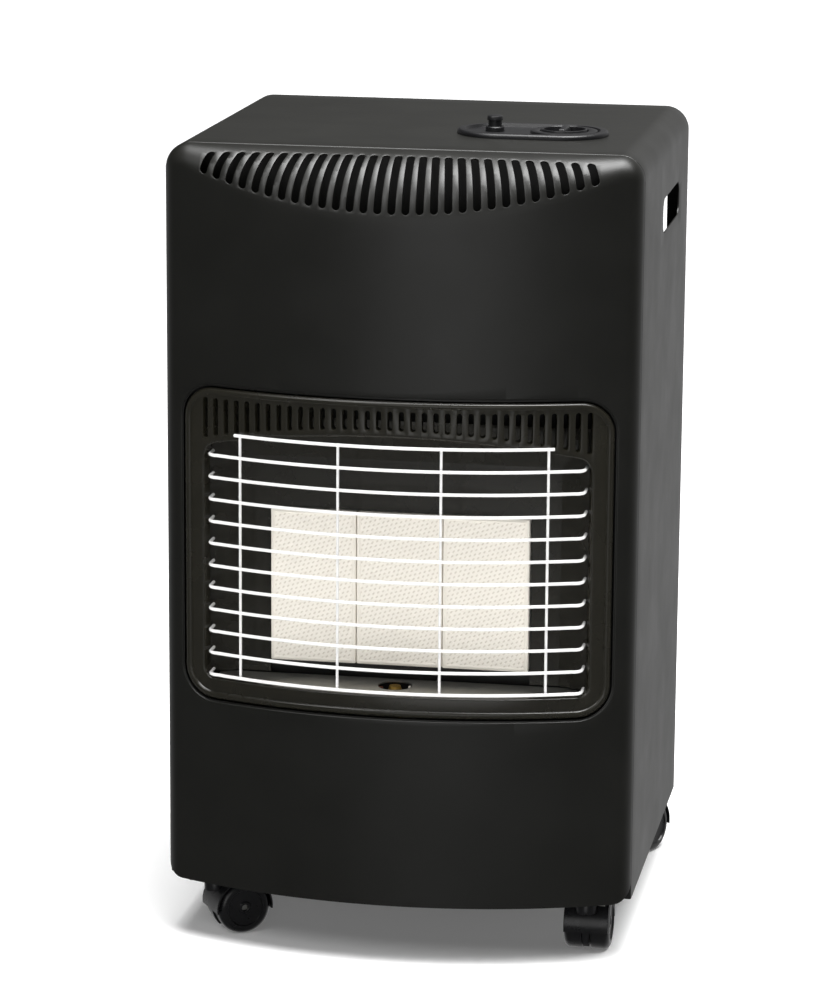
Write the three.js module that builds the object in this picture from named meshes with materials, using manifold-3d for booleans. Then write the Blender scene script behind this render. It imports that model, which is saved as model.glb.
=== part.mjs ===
// Portable gas cabinet heater: a sheet-steel cabinet on four twin-wheel castors, with three
// ceramic plaque burners behind a wire guard, a gas valve and a push-button igniter under the
// top, and room for a gas cylinder behind a pull-off rear cover.
// Millimetres. +X to the right of someone facing the front, +Y to the rear, +Z up, floor at Z 0.
import * as THREE from "three";
import { mergeVertices } from "three/addons/utils/BufferGeometryUtils.js";
import Module from "manifold-3d";

const wasm = await Module();
wasm.setup();

// ---------------------------------------------------------------- driving dimensions
const width = 420; // across the cabinet's sides
const sideDepth = 350; // front edge to rear edge of a side
const bodyHeight = 666; // bottom edge to top of the cabinet
const groundClearance = 55; // floor to the cabinet's bottom edge
const sheet = 1.2; // thickness of the steel panels
const gap = 0.3; // between pieces that touch
const cornerRadius = 22; // where the wrap folds from top to side
const flangeWidth = 19; // rear return of the wrap
const frontFlangeWidth = 10; // front return of the wrap

const bowDepth = 60; // how far the front panel bulges at the middle
const bowRadius = 480; // plan radius of the bulge
const panelEdgeRoll = 10; // rounding of the front panel's upright edges
const panelFootRadius = 15; // bottom corners of the front panel
const guardProud = 6; // how far the wire guard stands in front of the bulge

const slotPitch = 12.25; // outlet slots in the rolled top edge
const slotMargin = 31; // plain metal from the cabinet's side to the first slot
const slotWidth = 6.8;
const slotInset = 20.5; // seam to the upper end of the middle slots
const slotInsetEase = 0.13; // share of the shallower bulge by which the outer slots start sooner
const slotRise = 0.18; // lower end of a slot above the foot of the roll, as a share of the bulge
const slotFan = 300; // the slots point at a place this far behind the face

const surroundMargin = 20; // surround in from the cabinet's sides
const surroundBottom = 174; // above the cabinet's bottom edge
const surroundHeight = 281;
const surroundCorner = 28;
const surroundGroove = 3; // dark joint round the surround
const surroundSet = 3; // surround's face behind the front panel's
const surroundReturn = 12; // how deep its outer edge turns back
const windowMargin = 18; // window in from the surround's ends
const windowBottom = 192;
const windowShoulder = 403; // top of the window at its ends
const windowArch = 20; // rise of the window's top edge at the middle
const windowCorner = 10;
const windowReturn = 8; // how deep the window's edge turns back
const ventPitch = 10; // slots above the window
const ventWidth = 5;
const ventTop = 446;
const ventClear = 6; // vent's lower end above the window's edge

const guardWires = 11; // full-width wires
const guardPitch = 19.9;
const guardBottom = 196.5; // lowest wire above the cabinet's bottom edge
const guardWire = 3.2; // diameter
const guardUpright = 3; // diameter of the four uprights
const guardUprightInset = 36; // outer uprights in from the window's sides
const guardTopOverhang = 5; // short top wire past the outer uprights
const guardBowRadius = 440; // the guard is rounder than the panel
const guardHookRadius = 8;
const guardHookLength = 12; // straight end of each wire, turned back
const guardHoleSlack = 0.8; // radial room round a wire's end

const plaqueWidth = 76.6;
const plaqueHeight = 138;
const plaqueThickness = 13;
const plaqueForward = 8; // face of the plaques in front of the cabinet's front edge
const plaqueBottom = 206;
const plaqueJoint = 0.6; // between neighbouring plaques
const plaqueChamfer = 1;
const burnerDepth = 22;
const burnerWall = 1.2;
const burnerLap = 6; // box behind the plaque, in from its edge
const mixerRadius = 9; // mixing tube under each burner
const mixerLength = 46;
const mixerBore = 6.5;
const mixerBack = 2; // tube behind the middle of its box

const burnerPanelBottom = 172;
const reflectorLean = 28; // flat back of the reflector in from the window's sides
const reflectorBackTop = 392;
const reflectorDepth = 13;
const reflectorSet = 6; // reflector's back behind the plaque's face

const shelfDrop = 13; // shelf below the plaque's bottom edge
const shelfHole = 15; // radius of the pilot's window in the shelf
const shelfLip = 6;

const shieldSet = 46; // heat shield behind the cabinet's front edge
const shieldBottom = 120;
const shieldTop = 520;

const trayLip = 20;
const traySheet = 1.5;
const tongueWidth = 30;
const tongueSpacing = 260;
const tongueLength = 12;

const bezelLength = 135;
const bezelDepth = 84;
const bezelRise = 4;
const bezelRim = 7;
const bezelX = 95; // centre of the control bezel
const bezelBack = 120; // behind the cabinet's front edge
const knobX = 28; // from the bezel's centre
const knobRadius = 20.5;
const knobHeight = 11.5;
const knobSunk = 6; // bottom of the knob under the cabinet's top
const knobDish = 7; // depth of the knob's hollows
const knobGrip = 7; // width of its grip bar
const knobRing = 30; // radius of the ring round the knob
const knobRingWidth = 8.4;
const knobPush = 4; // travel
const igniterX = -34;
const igniterRadius = 6;
const igniterBarrel = 7.75;
const igniterTravel = 5;

const handleLength = 130;
const handleHeight = 31;
const handleBack = 211; // centre, behind the cabinet's front edge
const handleZ = 591; // centre, above the cabinet's bottom edge
const handleCorner = 12;

const coverHeight = 470;
const coverBead = 4;
const coverSlots = 6;
const coverSlotPitch = 16;
const coverSlotLow = 60; // lower bank above the cover's bottom edge
const coverSlotHigh = 210; // upper bank's first slot below the cover's top edge
const coverSlotGap = 28; // between the left and right banks
const coverSlotLength = 150;
const coverSlotWidth = 5;
const clipRadius = 8;
const clipShank = 3;
const clipSlack = 0.6;

const wheelRadius = 24.5;
const wheelWidth = 17;
const wheelFacets = 18;
const wheelSpacing = 7; // between the two wheels' inner faces
const axleRadius = 3;
const hoodRadius = 27;
const hoodWall = 1.6;
const castorTrail = 22;
const castorInset = 40; // swivel axis from the cabinet's side
const castorFront = 2; // swivel axis behind the cabinet's front edge
const castorRear = 49; // swivel axis ahead of the cabinet's rear edge
const kingpinRadius = 4;
const castorPlate = 38;
const plateThickness = 2;

// ---------------------------------------------------------------- derived places
const halfWidth = width / 2;
const surroundWidth = width - 2 * surroundMargin;
const windowWidth = surroundWidth - 2 * windowMargin;
const slotCount = 2 * Math.floor((halfWidth - slotMargin - slotWidth) / slotPitch) + 1;
const ventCount = 2 * Math.floor(windowWidth / 2 / ventPitch) + 1;
const guardOuter = windowWidth / 2 - guardUprightInset;
const guardUprights = [-guardOuter, -guardOuter / 3, guardOuter / 3, guardOuter];
const reflectorHalf = windowWidth / 2 - reflectorLean; // flat back of the reflector
const coverOut = gap + sheet + coverBead; // cover stands this far behind the wrap
const depth = guardProud + bowDepth + sideDepth + coverOut;
const frontY = -depth / 2 + guardProud + bowDepth; // front edge of the wrap
const rearY = frontY + sideDepth;
const bottomZ = groundClearance;
const topZ = bottomZ + bodyHeight;
const panelBackY = frontY - gap;
const bowCentreY = frontY - bowDepth + bowRadius;
const plaqueY = frontY - plaqueForward; // face of the plaques
const bezelY = frontY + bezelBack;
const knobAt = [bezelX + knobX, bezelY];
const igniterAt = [bezelX + igniterX, bezelY];

// ---------------------------------------------------------------- shape helpers
const solidOf = (geometry) => {
  const bare = new THREE.BufferGeometry();
  bare.setAttribute("position", geometry.getAttribute("position").clone());
  if (geometry.index) bare.setIndex(geometry.index.clone());
  const merged = mergeVertices(bare, 1e-4);
  return new wasm.Manifold(
    new wasm.Mesh({
      numProp: 3,
      vertProperties: new Float32Array(merged.attributes.position.array),
      triVerts: new Uint32Array(merged.index.array),
    }),
  );
};

const geometryOf = (solid) => {
  const mesh = solid.asOriginal().simplify(0.03).getMesh();
  const geometry = new THREE.BufferGeometry();
  geometry.setAttribute("position", new THREE.BufferAttribute(mesh.vertProperties, 3));
  geometry.setIndex(new THREE.BufferAttribute(mesh.triVerts, 1));
  geometry.computeVertexNormals();
  return geometry;
};

const join = (first, ...others) => others.reduce((sum, other) => sum.add(other), first);
const cut = (first, ...others) => others.reduce((rest, other) => rest.subtract(other), first);

// Box between two opposite corners.
const block = (x0, x1, y0, y1, z0, z1) => {
  const geometry = new THREE.BoxGeometry(x1 - x0, y1 - y0, z1 - z0);
  geometry.translate((x0 + x1) / 2, (y0 + y1) / 2, (z0 + z1) / 2);
  return solidOf(geometry);
};

// A shape drawn in X and Z, pushed along Y from y0 to y1.
const alongY = (shape, y0, y1, curveSegments = 6) => {
  const options = { depth: y1 - y0, bevelEnabled: false, curveSegments };
  const geometry = new THREE.ExtrudeGeometry(shape, options);
  geometry.rotateX(Math.PI / 2);
  geometry.translate(0, y1, 0);
  return solidOf(geometry);
};

// A shape drawn in X and Y, pushed up from z0 to z1.
const alongZ = (shape, z0, z1, curveSegments = 6) => {
  const options = { depth: z1 - z0, bevelEnabled: false, curveSegments };
  const geometry = new THREE.ExtrudeGeometry(shape, options);
  geometry.translate(0, 0, z0);
  return solidOf(geometry);
};

// A shape drawn in Y and Z, pushed along X from x0 to x1.
const alongX = (shape, x0, x1, curveSegments = 6) => {
  const options = { depth: x1 - x0, bevelEnabled: false, curveSegments };
  const geometry = new THREE.ExtrudeGeometry(shape, options);
  const turn = new THREE.Matrix4().set(0, 0, 1, x0, 1, 0, 0, 0, 0, 1, 0, 0, 0, 0, 0, 1);
  geometry.applyMatrix4(turn);
  return solidOf(geometry);
};

// Rectangle with its own radius at the bottom and the top corners.
const roundedShape = (x0, x1, z0, z1, low, high = low) => {
  const shape = new THREE.Shape();
  shape.moveTo(x0 + low, z0);
  shape.lineTo(x1 - low, z0);
  shape.absarc(x1 - low, z0 + low, low, -Math.PI / 2, 0, false);
  shape.absarc(x1 - high, z1 - high, high, 0, Math.PI / 2, false);
  shape.absarc(x0 + high, z1 - high, high, Math.PI / 2, Math.PI, false);
  shape.absarc(x0 + low, z0 + low, low, Math.PI, Math.PI * 1.5, false);
  return shape;
};

// Rectangle with its corners cut off, for slots.
const slotShape = (x0, x1, z0, z1) => {
  const cutOff = (x1 - x0 < z1 - z0 ? x1 - x0 : z1 - z0) * 0.3;
  return polygon([
    [x0 + cutOff, z0],
    [x1 - cutOff, z0],
    [x1, z0 + cutOff],
    [x1, z1 - cutOff],
    [x1 - cutOff, z1],
    [x0 + cutOff, z1],
    [x0, z1 - cutOff],
    [x0, z0 + cutOff],
  ]);
};

const polygon = (points) => new THREE.Shape(points.map(([a, b]) => new THREE.Vector2(a, b)));

// Upright cylinder, or one along X or Y.
const rod = (radius, from, to, at, axis = "z", sides = 16) => {
  const geometry = new THREE.CylinderGeometry(radius, radius, to - from, sides);
  geometry.translate(0, (from + to) / 2, 0);
  if (axis === "z") geometry.rotateX(Math.PI / 2);
  if (axis === "x") geometry.rotateZ(-Math.PI / 2);
  if (axis === "z") geometry.translate(at[0], at[1], 0);
  if (axis === "y") geometry.translate(at[0], 0, at[1]);
  if (axis === "x") geometry.translate(0, at[0], at[1]);
  return solidOf(geometry);
};

// Body of revolution about an upright axis; the profile is [radius, height] and closes on itself.
const turned = (profile, at, sides = 24) => {
  const points = profile.map(([r, z]) => new THREE.Vector2(r, z));
  const geometry = new THREE.LatheGeometry(points, sides);
  geometry.rotateX(Math.PI / 2);
  geometry.translate(at[0], at[1], 0);
  return solidOf(geometry);
};

// Round tube or wire through points, with rounded bends.
const wire = (points, radius, steps, sides = 6) => {
  const path = new THREE.CatmullRomCurve3(
    points.map(([x, y, z]) => new THREE.Vector3(x, y, z)),
    false,
    "centripetal",
  );
  const section = new THREE.Shape();
  for (let i = 0; i < sides; i += 1) {
    const angle = (i / sides) * Math.PI * 2;
    const [x, y] = [Math.cos(angle) * radius, Math.sin(angle) * radius];
    if (i) section.lineTo(x, y);
    else section.moveTo(x, y);
  }
  section.closePath();
  return solidOf(new THREE.ExtrudeGeometry(section, { steps, extrudePath: path }));
};

// Closed body through equal rings of points, one ring after another, with flat ends.
const loft = (rings) => {
  const count = rings[0].length;
  const index = [];
  rings.slice(1).forEach((_, r) => {
    for (let i = 0; i < count; i += 1) {
      const j = (i + 1) % count;
      const [a, b] = [r * count + i, r * count + j];
      const [c, d] = [a + count, b + count];
      index.push(a, b, d, a, d, c);
    }
  });
  const last = (rings.length - 1) * count;
  for (let i = 1; i < count - 1; i += 1) {
    index.push(0, i + 1, i, last, last + i, last + i + 1);
  }
  const geometry = new THREE.BufferGeometry();
  geometry.setAttribute("position", new THREE.Float32BufferAttribute(rings.flat(2), 3));
  geometry.setIndex(index);
  return solidOf(geometry);
};

// Round wire lying level at height z, through the given places.
const levelWire = (path, z, radius, sides = 6) => {
  const rings = path.map(([x, y], i) => {
    const before = path[Math.max(i - 1, 0)];
    const after = path[Math.min(i + 1, path.length - 1)];
    const run = Math.hypot(after[0] - before[0], after[1] - before[1]);
    const [nx, ny] = [(before[1] - after[1]) / run, (after[0] - before[0]) / run];
    return Array.from({ length: sides }, (_, k) => {
      const angle = (k / sides) * Math.PI * 2;
      const out = radius * Math.cos(angle);
      return [x + nx * out, y + ny * out, z + radius * Math.sin(angle)];
    });
  });
  return loft(rings);
};

// ---------------------------------------------------------------- the bowed front
// Depth of the bulge at x, for a skin set in by the given amount.
const bulge = (x, inset = 0) => {
  const radius = bowRadius - inset;
  return bowDepth - inset - (radius - Math.sqrt(radius ** 2 - x ** 2));
};

// Same, with the upright edge rounded over.
const rolledBulge = (x, inset) => {
  const roll = panelEdgeRoll - inset;
  const fromEdge = halfWidth - inset - Math.abs(x);
  const drop = fromEdge < roll ? roll - Math.sqrt(roll ** 2 - (roll - fromEdge) ** 2) : 0;
  return Math.max(bulge(x, inset) - drop, 0.2);
};

// Stations across the panel, right to left: close together round the edges, wide apart between.
const stations = (inset) => {
  const half = halfWidth - inset;
  const roll = panelEdgeRoll - inset;
  const edge = [0, 35, 62].map((a) => half - roll * (1 - Math.cos((a * Math.PI) / 180)));
  const inner = half - roll;
  const across = 14;
  const middle = Array.from({ length: across + 1 }, (_, i) => inner - (2 * inner * i) / across);
  return [...edge, ...middle, ...edge.map((x) => -x).reverse()];
};

// Solid behind the front panel's skin: bowed face, and a top edge rolled by the bulge's depth.
const rollSteps = 4;
const frontBody = (inset, backY, low) => {
  const high = topZ - inset;
  const rings = stations(inset).map((x) => {
    const deep = rolledBulge(x, inset);
    const ring = [
      [x, backY, low],
      [x, frontY - deep, low],
    ];
    for (let i = rollSteps; i >= 0; i -= 1) {
      const angle = (i / rollSteps) * (Math.PI / 2);
      ring.push([x, frontY - deep * Math.sin(angle), high - deep + deep * Math.cos(angle)]);
    }
    ring.push([x, backY, high]);
    return ring;
  });
  return loft(rings);
};

// A layer that follows the bulge: from `set` behind the skin to `set + thick`.
const bowedLayer = (set, thick, halfSpan, low, high, centreSteps = 16) => {
  const shape = new THREE.Shape();
  const edge = (radius, reverse) => {
    for (let i = 0; i <= centreSteps; i += 1) {
      const x = halfSpan * (-1 + (2 * (reverse ? centreSteps - i : i)) / centreSteps);
      const y = bowCentreY - Math.sqrt(radius ** 2 - x ** 2);
      if (!reverse && i === 0) shape.moveTo(x, y);
      else shape.lineTo(x, y);
    }
  };
  edge(bowRadius - set, false);
  edge(bowRadius - set - thick, true);
  shape.closePath();
  return alongZ(shape, low, high);
};

const outline = (grow) =>
  roundedShape(
    -surroundWidth / 2 - grow,
    surroundWidth / 2 + grow,
    bottomZ + surroundBottom - grow,
    bottomZ + surroundBottom + surroundHeight + grow,
    surroundCorner + grow,
  );

// Window of the surround, with its arched top edge.
const archRadius = ((windowWidth / 2) ** 2 + windowArch ** 2) / (2 * windowArch);
const windowShape = (grow) => {
  const half = windowWidth / 2 + grow;
  const low = bottomZ + windowBottom - grow;
  const corner = windowCorner + grow;
  const shoulder = bottomZ + windowShoulder + grow;
  const centreZ = bottomZ + windowShoulder + windowArch - archRadius;
  const reach = archRadius + grow;
  const lean = Math.asin(half / reach);
  const shape = new THREE.Shape();
  shape.moveTo(-half + corner, low);
  shape.lineTo(half - corner, low);
  shape.absarc(half - corner, low + corner, corner, -Math.PI / 2, 0, false);
  shape.lineTo(half, Math.min(shoulder, centreZ + reach * Math.cos(lean)));
  shape.absarc(0, centreZ, reach, Math.PI / 2 - lean, Math.PI / 2 + lean, false);
  shape.lineTo(-half, low + corner);
  shape.absarc(-half + corner, low + corner, corner, Math.PI, Math.PI * 1.5, false);
  return shape;
};
const archZ = (x) =>
  bottomZ + windowShoulder + windowArch - archRadius + Math.sqrt(archRadius ** 2 - x ** 2);

// ---------------------------------------------------------------- casing
const stadium = (cx, cy, length, across) => {
  const r = across / 2;
  const run = length / 2 - r;
  const shape = new THREE.Shape();
  shape.moveTo(cx - run, cy - r);
  shape.lineTo(cx + run, cy - r);
  shape.absarc(cx + run, cy, r, -Math.PI / 2, Math.PI / 2, false);
  shape.lineTo(cx - run, cy + r);
  shape.absarc(cx - run, cy, r, Math.PI / 2, Math.PI * 1.5, false);
  return shape;
};

const wrapOutline = (inset, low) =>
  roundedShape(-halfWidth + inset, halfWidth - inset, low, topZ - inset, 0.01, cornerRadius - inset);

const clipHoles = () =>
  clipAt.map(([x, z]) => rod(clipShank + clipSlack, rearY - 5, rearY + 5, [x, z], "y", 10));

const makeWrap = () => {
  const below = bottomZ - 5;
  const handle = roundedShape(
    -handleLength / 2,
    handleLength / 2,
    -handleHeight / 2,
    handleHeight / 2,
    handleCorner,
  );
  const handleCut = alongX(handle, -halfWidth - 5, halfWidth + 5, 4).translate([
    0,
    frontY + handleBack,
    bottomZ + handleZ,
  ]);
  return cut(
    alongY(wrapOutline(0, bottomZ), frontY, rearY),
    alongY(wrapOutline(sheet, below), frontY + sheet, rearY - sheet),
    alongY(wrapOutline(frontFlangeWidth, below), frontY - 5, rearY - sheet),
    alongY(wrapOutline(flangeWidth, below), frontY, rearY + 5),
    handleCut,
    alongZ(stadium(bezelX, bezelY, bezelLength - 16, bezelDepth - 16), topZ - 5, topZ + 5, 6),
    ...clipHoles(),
  );
};

// One outlet slot; the row fans out towards the face.
const slotCutter = (x) => {
  const angle = Math.atan(x / slotFan);
  const half = slotWidth / 2;
  const deep = bulge(x);
  const inset = slotInset - slotInsetEase * (bowDepth - deep);
  const reach = (deep - inset) / Math.cos(angle);
  const face = slotShape(-half, half, topZ - deep * (1 - slotRise), topZ + 8);
  const plan = slotShape(-half, half, -20, reach);
  return alongY(face, -15, reach + 5)
    .intersect(alongZ(plan, topZ - bowDepth - 20, topZ + 5))
    .rotate([0, 0, (angle * 180) / Math.PI])
    .translate([x, frontY - deep, 0]);
};

const makeFrontPanel = () => {
  const mask = (inset) =>
    alongY(
      roundedShape(
        -halfWidth + inset,
        halfWidth - inset,
        bottomZ + inset,
        topZ - inset,
        panelFootRadius - inset,
        cornerRadius - inset,
      ),
      frontY - bowDepth - 5,
      frontY + 20,
    );
  const outer = frontBody(0, panelBackY, bottomZ).intersect(mask(0));
  const inner = frontBody(sheet, panelBackY + 5, bottomZ + sheet).intersect(mask(sheet));
  const opening = alongY(outline(surroundGroove), frontY - bowDepth - 5, frontY + 5);
  const collar = alongY(outline(surroundGroove + sheet), frontY - bowDepth - 5, frontY + 5)
    .subtract(opening)
    .intersect(
      bowedLayer(0, surroundReturn, halfWidth - 8, bottomZ + surroundBottom - 20, topZ - 130),
    );
  const slots = Array.from({ length: slotCount }, (_, i) =>
    slotCutter((i - (slotCount - 1) / 2) * slotPitch),
  );
  return cut(join(cut(outer, inner, opening), collar), ...slots);
};

const makeSurround = () => {
  const [front, back] = [frontY - bowDepth - 5, frontY + bowDepth];
  const low = bottomZ + surroundBottom - 5;
  const high = low + surroundHeight + 10;
  const span = halfWidth - 5;
  const face = alongY(outline(0), front, back).intersect(
    bowedLayer(surroundSet, sheet, span, low, high),
  );
  const edge = alongY(outline(0), front, back)
    .subtract(alongY(outline(-sheet), front, back))
    .intersect(bowedLayer(surroundSet, surroundReturn, span, low, high));
  const sill = alongY(windowShape(sheet), front, back, 8).intersect(
    bowedLayer(surroundSet, windowReturn, span, low, high),
  );
  const vents = Array.from({ length: ventCount }, (_, i) => {
    const x = (i - (ventCount - 1) / 2) * ventPitch;
    const half = ventWidth / 2;
    const foot = archZ(Math.min(Math.abs(x), windowWidth / 2 - 1)) + ventClear;
    const shape = slotShape(x - half, x + half, foot, bottomZ + ventTop);
    return alongY(shape, front, frontY - bulge(x) + surroundSet + 6);
  });
  const holes = guardRows.flatMap((z) =>
    [-1, 1].map((side) =>
      rod(guardWire / 2 + guardHoleSlack, hookTipY - 9, back, [side * guardEndX, z], "y", 6),
    ),
  );
  const window = alongY(windowShape(0), front, back, 8);
  return cut(join(cut(join(face, edge, sill), window), hookStrip(-1), hookStrip(1)), ...vents, ...holes);
};

// ---------------------------------------------------------------- wire guard
const guardRows = Array.from(
  { length: guardWires },
  (_, i) => bottomZ + guardBottom + i * guardPitch,
);
const guardFrontY = frontY - bowDepth - guardProud + guardWire / 2;
const guardEndX = windowWidth / 2 - 6; // where a wire's end turns back
const guardY = (x) => guardFrontY + guardBowRadius - Math.sqrt(guardBowRadius ** 2 - x ** 2);
const hookTipY = guardY(guardEndX - guardHookRadius) + guardHookRadius + guardHookLength;

// Strip turned in from the window's edge, drilled for the wires' ends.
const hookStrip = (side) => {
  const [near, far] = [side * (guardEndX - 4), side * (windowWidth / 2 + 0.6)];
  const [low, high] = [guardRows[0] - 6, guardRows[guardWires - 1] + 6];
  const y = hookTipY - 5;
  return block(Math.min(near, far), Math.max(near, far), y, y + 1.6, low, high);
};

// Level wire across the guard; a hooked one turns back at both ends.
const bowedWire = (z, reach, hooked) => {
  const run = hooked ? reach - guardHookRadius : reach;
  const count = 6;
  const arc = Array.from({ length: count + 1 }, (_, i) => {
    const x = -run + (2 * run * i) / count;
    return [x, guardY(x)];
  });
  if (!hooked) return levelWire(arc, z, guardWire / 2);
  const bend = (side) => [
    [side * (reach - guardHookRadius * 0.25), guardY(run) + guardHookRadius * 0.4],
    [side * reach, guardY(run) + guardHookRadius * 1.1],
    [side * reach, hookTipY],
  ];
  return levelWire([...bend(-1).reverse(), ...arc, ...bend(1)], z, guardWire / 2);
};

const makeGuard = () => {
  const topRow = bottomZ + guardBottom + guardWires * guardPitch;
  const topReach = guardUprights[guardUprights.length - 1] + guardTopOverhang;
  const behind = guardWire / 2 + guardUpright / 2 - 0.7;
  const uprights = guardUprights.map((x) =>
    rod(guardUpright / 2, guardRows[0] - 1, topRow + 1, [x, guardY(x) + behind], "z", 5),
  );
  return join(
    bowedWire(topRow, topReach, false),
    ...guardRows.map((z) => bowedWire(z, guardEndX, true)),
    ...uprights,
  );
};

// ---------------------------------------------------------------- burners
const burnerXs = [-1, 0, 1].map((i) => i * (plaqueWidth + plaqueJoint));
const burnerHalf = burnerXs[2] + plaqueWidth / 2; // middle to the outer side of the row
const plaqueLow = bottomZ + plaqueBottom;
const plaqueHigh = plaqueLow + plaqueHeight;

// Ceramic tile with a small chamfer round its face.
const makePlaque = (x) => {
  const ring = (inset, y) => {
    const half = plaqueWidth / 2 - inset;
    return [
      [x - half, y, plaqueLow + inset],
      [x + half, y, plaqueLow + inset],
      [x + half, y, plaqueHigh - inset],
      [x - half, y, plaqueHigh - inset],
    ];
  };
  return loft([
    ring(0, plaqueY + plaqueThickness),
    ring(0, plaqueY + plaqueChamfer),
    ring(plaqueChamfer, plaqueY),
  ]);
};

// Pressed box behind a plaque, with the mixing tube that feeds it.
const makeBurner = (x) => {
  const half = plaqueWidth / 2 - burnerLap;
  const y0 = plaqueY + plaqueThickness + gap;
  const y1 = y0 + burnerDepth;
  const shell = cut(
    block(x - half, x + half, y0, y1, plaqueLow + burnerLap, plaqueHigh - burnerLap),
    block(
      x - half + burnerWall,
      x + half - burnerWall,
      y0 - 1,
      y1 - burnerWall,
      plaqueLow + burnerLap + burnerWall,
      plaqueHigh - burnerLap - burnerWall,
    ),
  );
  const flange = cut(
    block(x - half - 4, x + half + 4, y0, y0 + burnerWall, plaqueLow + 2, plaqueHigh - 2),
    block(x - half + 1, x + half - 1, y0 - 1, y0 + 3, plaqueLow + burnerLap + 1, plaqueHigh - burnerLap - 1),
  );
  const tubeAt = [x, mixerY];
  const tubeLow = plaqueLow + burnerLap - mixerLength;
  const tube = rod(mixerRadius, tubeLow, plaqueLow + burnerLap + 1, tubeAt, "z", 14);
  const bell = turned(
    [
      [0, tubeLow - 6],
      [mixerRadius + 3, tubeLow - 6],
      [mixerRadius, tubeLow + 2],
      [0, tubeLow + 2],
    ],
    tubeAt,
    14,
  );
  const bore = rod(mixerBore, tubeLow - 8, plaqueLow + burnerLap + 8, tubeAt, "z", 12);
  return cut(join(shell, flange, tube, bell), bore);
};
const mixerMouthZ = plaqueLow + burnerLap - mixerLength - 6;
const mixerY = plaqueY + plaqueThickness + gap + burnerDepth / 2 + mixerBack;

// Rail under the mixing tubes that carries one injector below each of them.
const railZ = mixerMouthZ - 16;
const makeInjectorRail = () => {
  const half = burnerXs[2] + 25;
  const bar = block(-half, half, mixerY - 7, mixerY + 7, railZ - 6, railZ + 6);
  const jets = burnerXs.flatMap((x) => [
    rod(5, railZ + 5, railZ + 11, [x, mixerY], "z", 6),
    rod(2.6, railZ + 10, railZ + 15, [x, mixerY], "z", 8),
  ]);
  const foot = block(-half, half, mixerY + 6.5, frontY + shieldSet - gap, railZ - 6, railZ - 4.8);
  return join(bar, foot, ...jets);
};

// Bulkhead that the burner boxes stand in, between the cabinet's sides and up to its top.
const makeBurnerPanel = () => {
  const half = halfWidth - sheet - gap;
  const y = plaqueY + plaqueThickness + gap + burnerWall + gap;
  const reach = plaqueWidth / 2 - burnerLap + 0.5;
  const high = topZ - sheet - gap;
  const corner = cornerRadius - sheet - gap;
  const shape = roundedShape(-half, half, bottomZ + burnerPanelBottom, high, 0.01, corner);
  const plate = alongY(shape, y, y + sheet);
  const holes = burnerXs.map((x) =>
    block(x - reach, x + reach, y - 5, y + 5, plaqueLow + burnerLap - 0.5, plaqueHigh - burnerLap + 0.5),
  );
  return cut(plate, ...holes);
};

const makeReflector = () => {
  const backY = plaqueY + reflectorSet;
  const mouthY = backY - reflectorDepth;
  const ring = (half, y, low, high) => [
    [-half, y, low],
    [half, y, low],
    [half, y, high],
    [-half, y, high],
  ];
  const mouthHalf = windowWidth / 2 + 3;
  const low = shelfZ + 1;
  const backHigh = bottomZ + reflectorBackTop;
  const mouthHigh = bottomZ + windowShoulder + windowArch + 6;
  const outer = loft([
    ring(reflectorHalf, backY, low, backHigh),
    ring(mouthHalf, mouthY, low, mouthHigh),
  ]);
  const inner = loft([
    ring(reflectorHalf - sheet, backY - sheet, low - 5, backHigh - sheet),
    ring(mouthHalf - sheet, mouthY - 0.5, low - 5, mouthHigh - sheet),
  ]);
  const clear = burnerHalf + 1;
  return cut(outer, inner, block(-clear, clear, backY - 5, backY + 5, low - 1, plaqueHigh + 1));
};

// Bright shelf under the plaques: level plate, front lip down, rear lip up.
const shelfZ = bottomZ + plaqueBottom - shelfDrop;
const makeShelf = () => {
  const half = windowWidth / 2 - 11;
  const frontEdge = surroundSet + windowReturn + 4 * gap;
  const plate = alongZ(
    polygon([
      [-half, frontY - 4],
      ...Array.from({ length: 17 }, (_, i) => {
        const x = -half + (2 * half * i) / 16;
        return [x, frontY - bulge(x) + frontEdge];
      }),
      [half, frontY - 4],
      [reflectorHalf, plaqueY + reflectorSet - 3],
      [-reflectorHalf, plaqueY + reflectorSet - 3],
    ]),
    shelfZ - sheet,
    shelfZ,
  );
  const lip = bowedLayer(frontEdge, sheet, half, shelfZ - shelfLip, shelfZ - 0.2, 16);
  const hole = rod(shelfHole, shelfZ - 5, shelfZ + 5, pilotAt, "z", 20);
  return cut(join(plate, lip), hole);
};

// ---------------------------------------------------------------- pilot
const pilotAt = [0, frontY - 26];
const pilotTop = bottomZ + plaqueBottom - shelfDrop + 4;
const makePilotBracket = () => {
  const z = pilotTop - 34;
  const y = mixerY - 7 - gap;
  const [x, front] = pilotAt;
  const plate = block(-22, 22, front - 6, y, z, z + sheet);
  const legs = [-22, 14].map((left) => block(left, left + 8, y - sheet, y, railZ - 4, z + sheet));
  return cut(
    join(plate, ...legs),
    rod(13.5, z - 5, z + 5, [0, mixerY], "z", 16),
    rod(4.4, z - 5, z + 5, pilotAt, "z", 12),
    rod(2.8, z - 5, z + 5, [x - 13, front], "z", 12),
    rod(3, z - 5, z + 5, [x + 13, front], "z", 12),
  );
};
const makePilotBurner = () => {
  const z = pilotTop - 34;
  return turned(
    [
      [0, z - 12],
      [4, z - 12],
      [4, z - gap],
      [4, z + sheet + gap],
      [4, z + 8],
      [6.5, z + 10],
      [6.5, z + 26],
      [5, z + 30],
      [0, z + 30],
    ],
    pilotAt,
    14,
  );
};
const makeThermocouple = () => {
  const z = pilotTop - 34;
  const at = [pilotAt[0] - 13, pilotAt[1]];
  return join(rod(2.4, z - 10, z + 28, at, "z", 10), rod(4, z + sheet + gap, z + 8, at, "z", 6));
};
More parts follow.
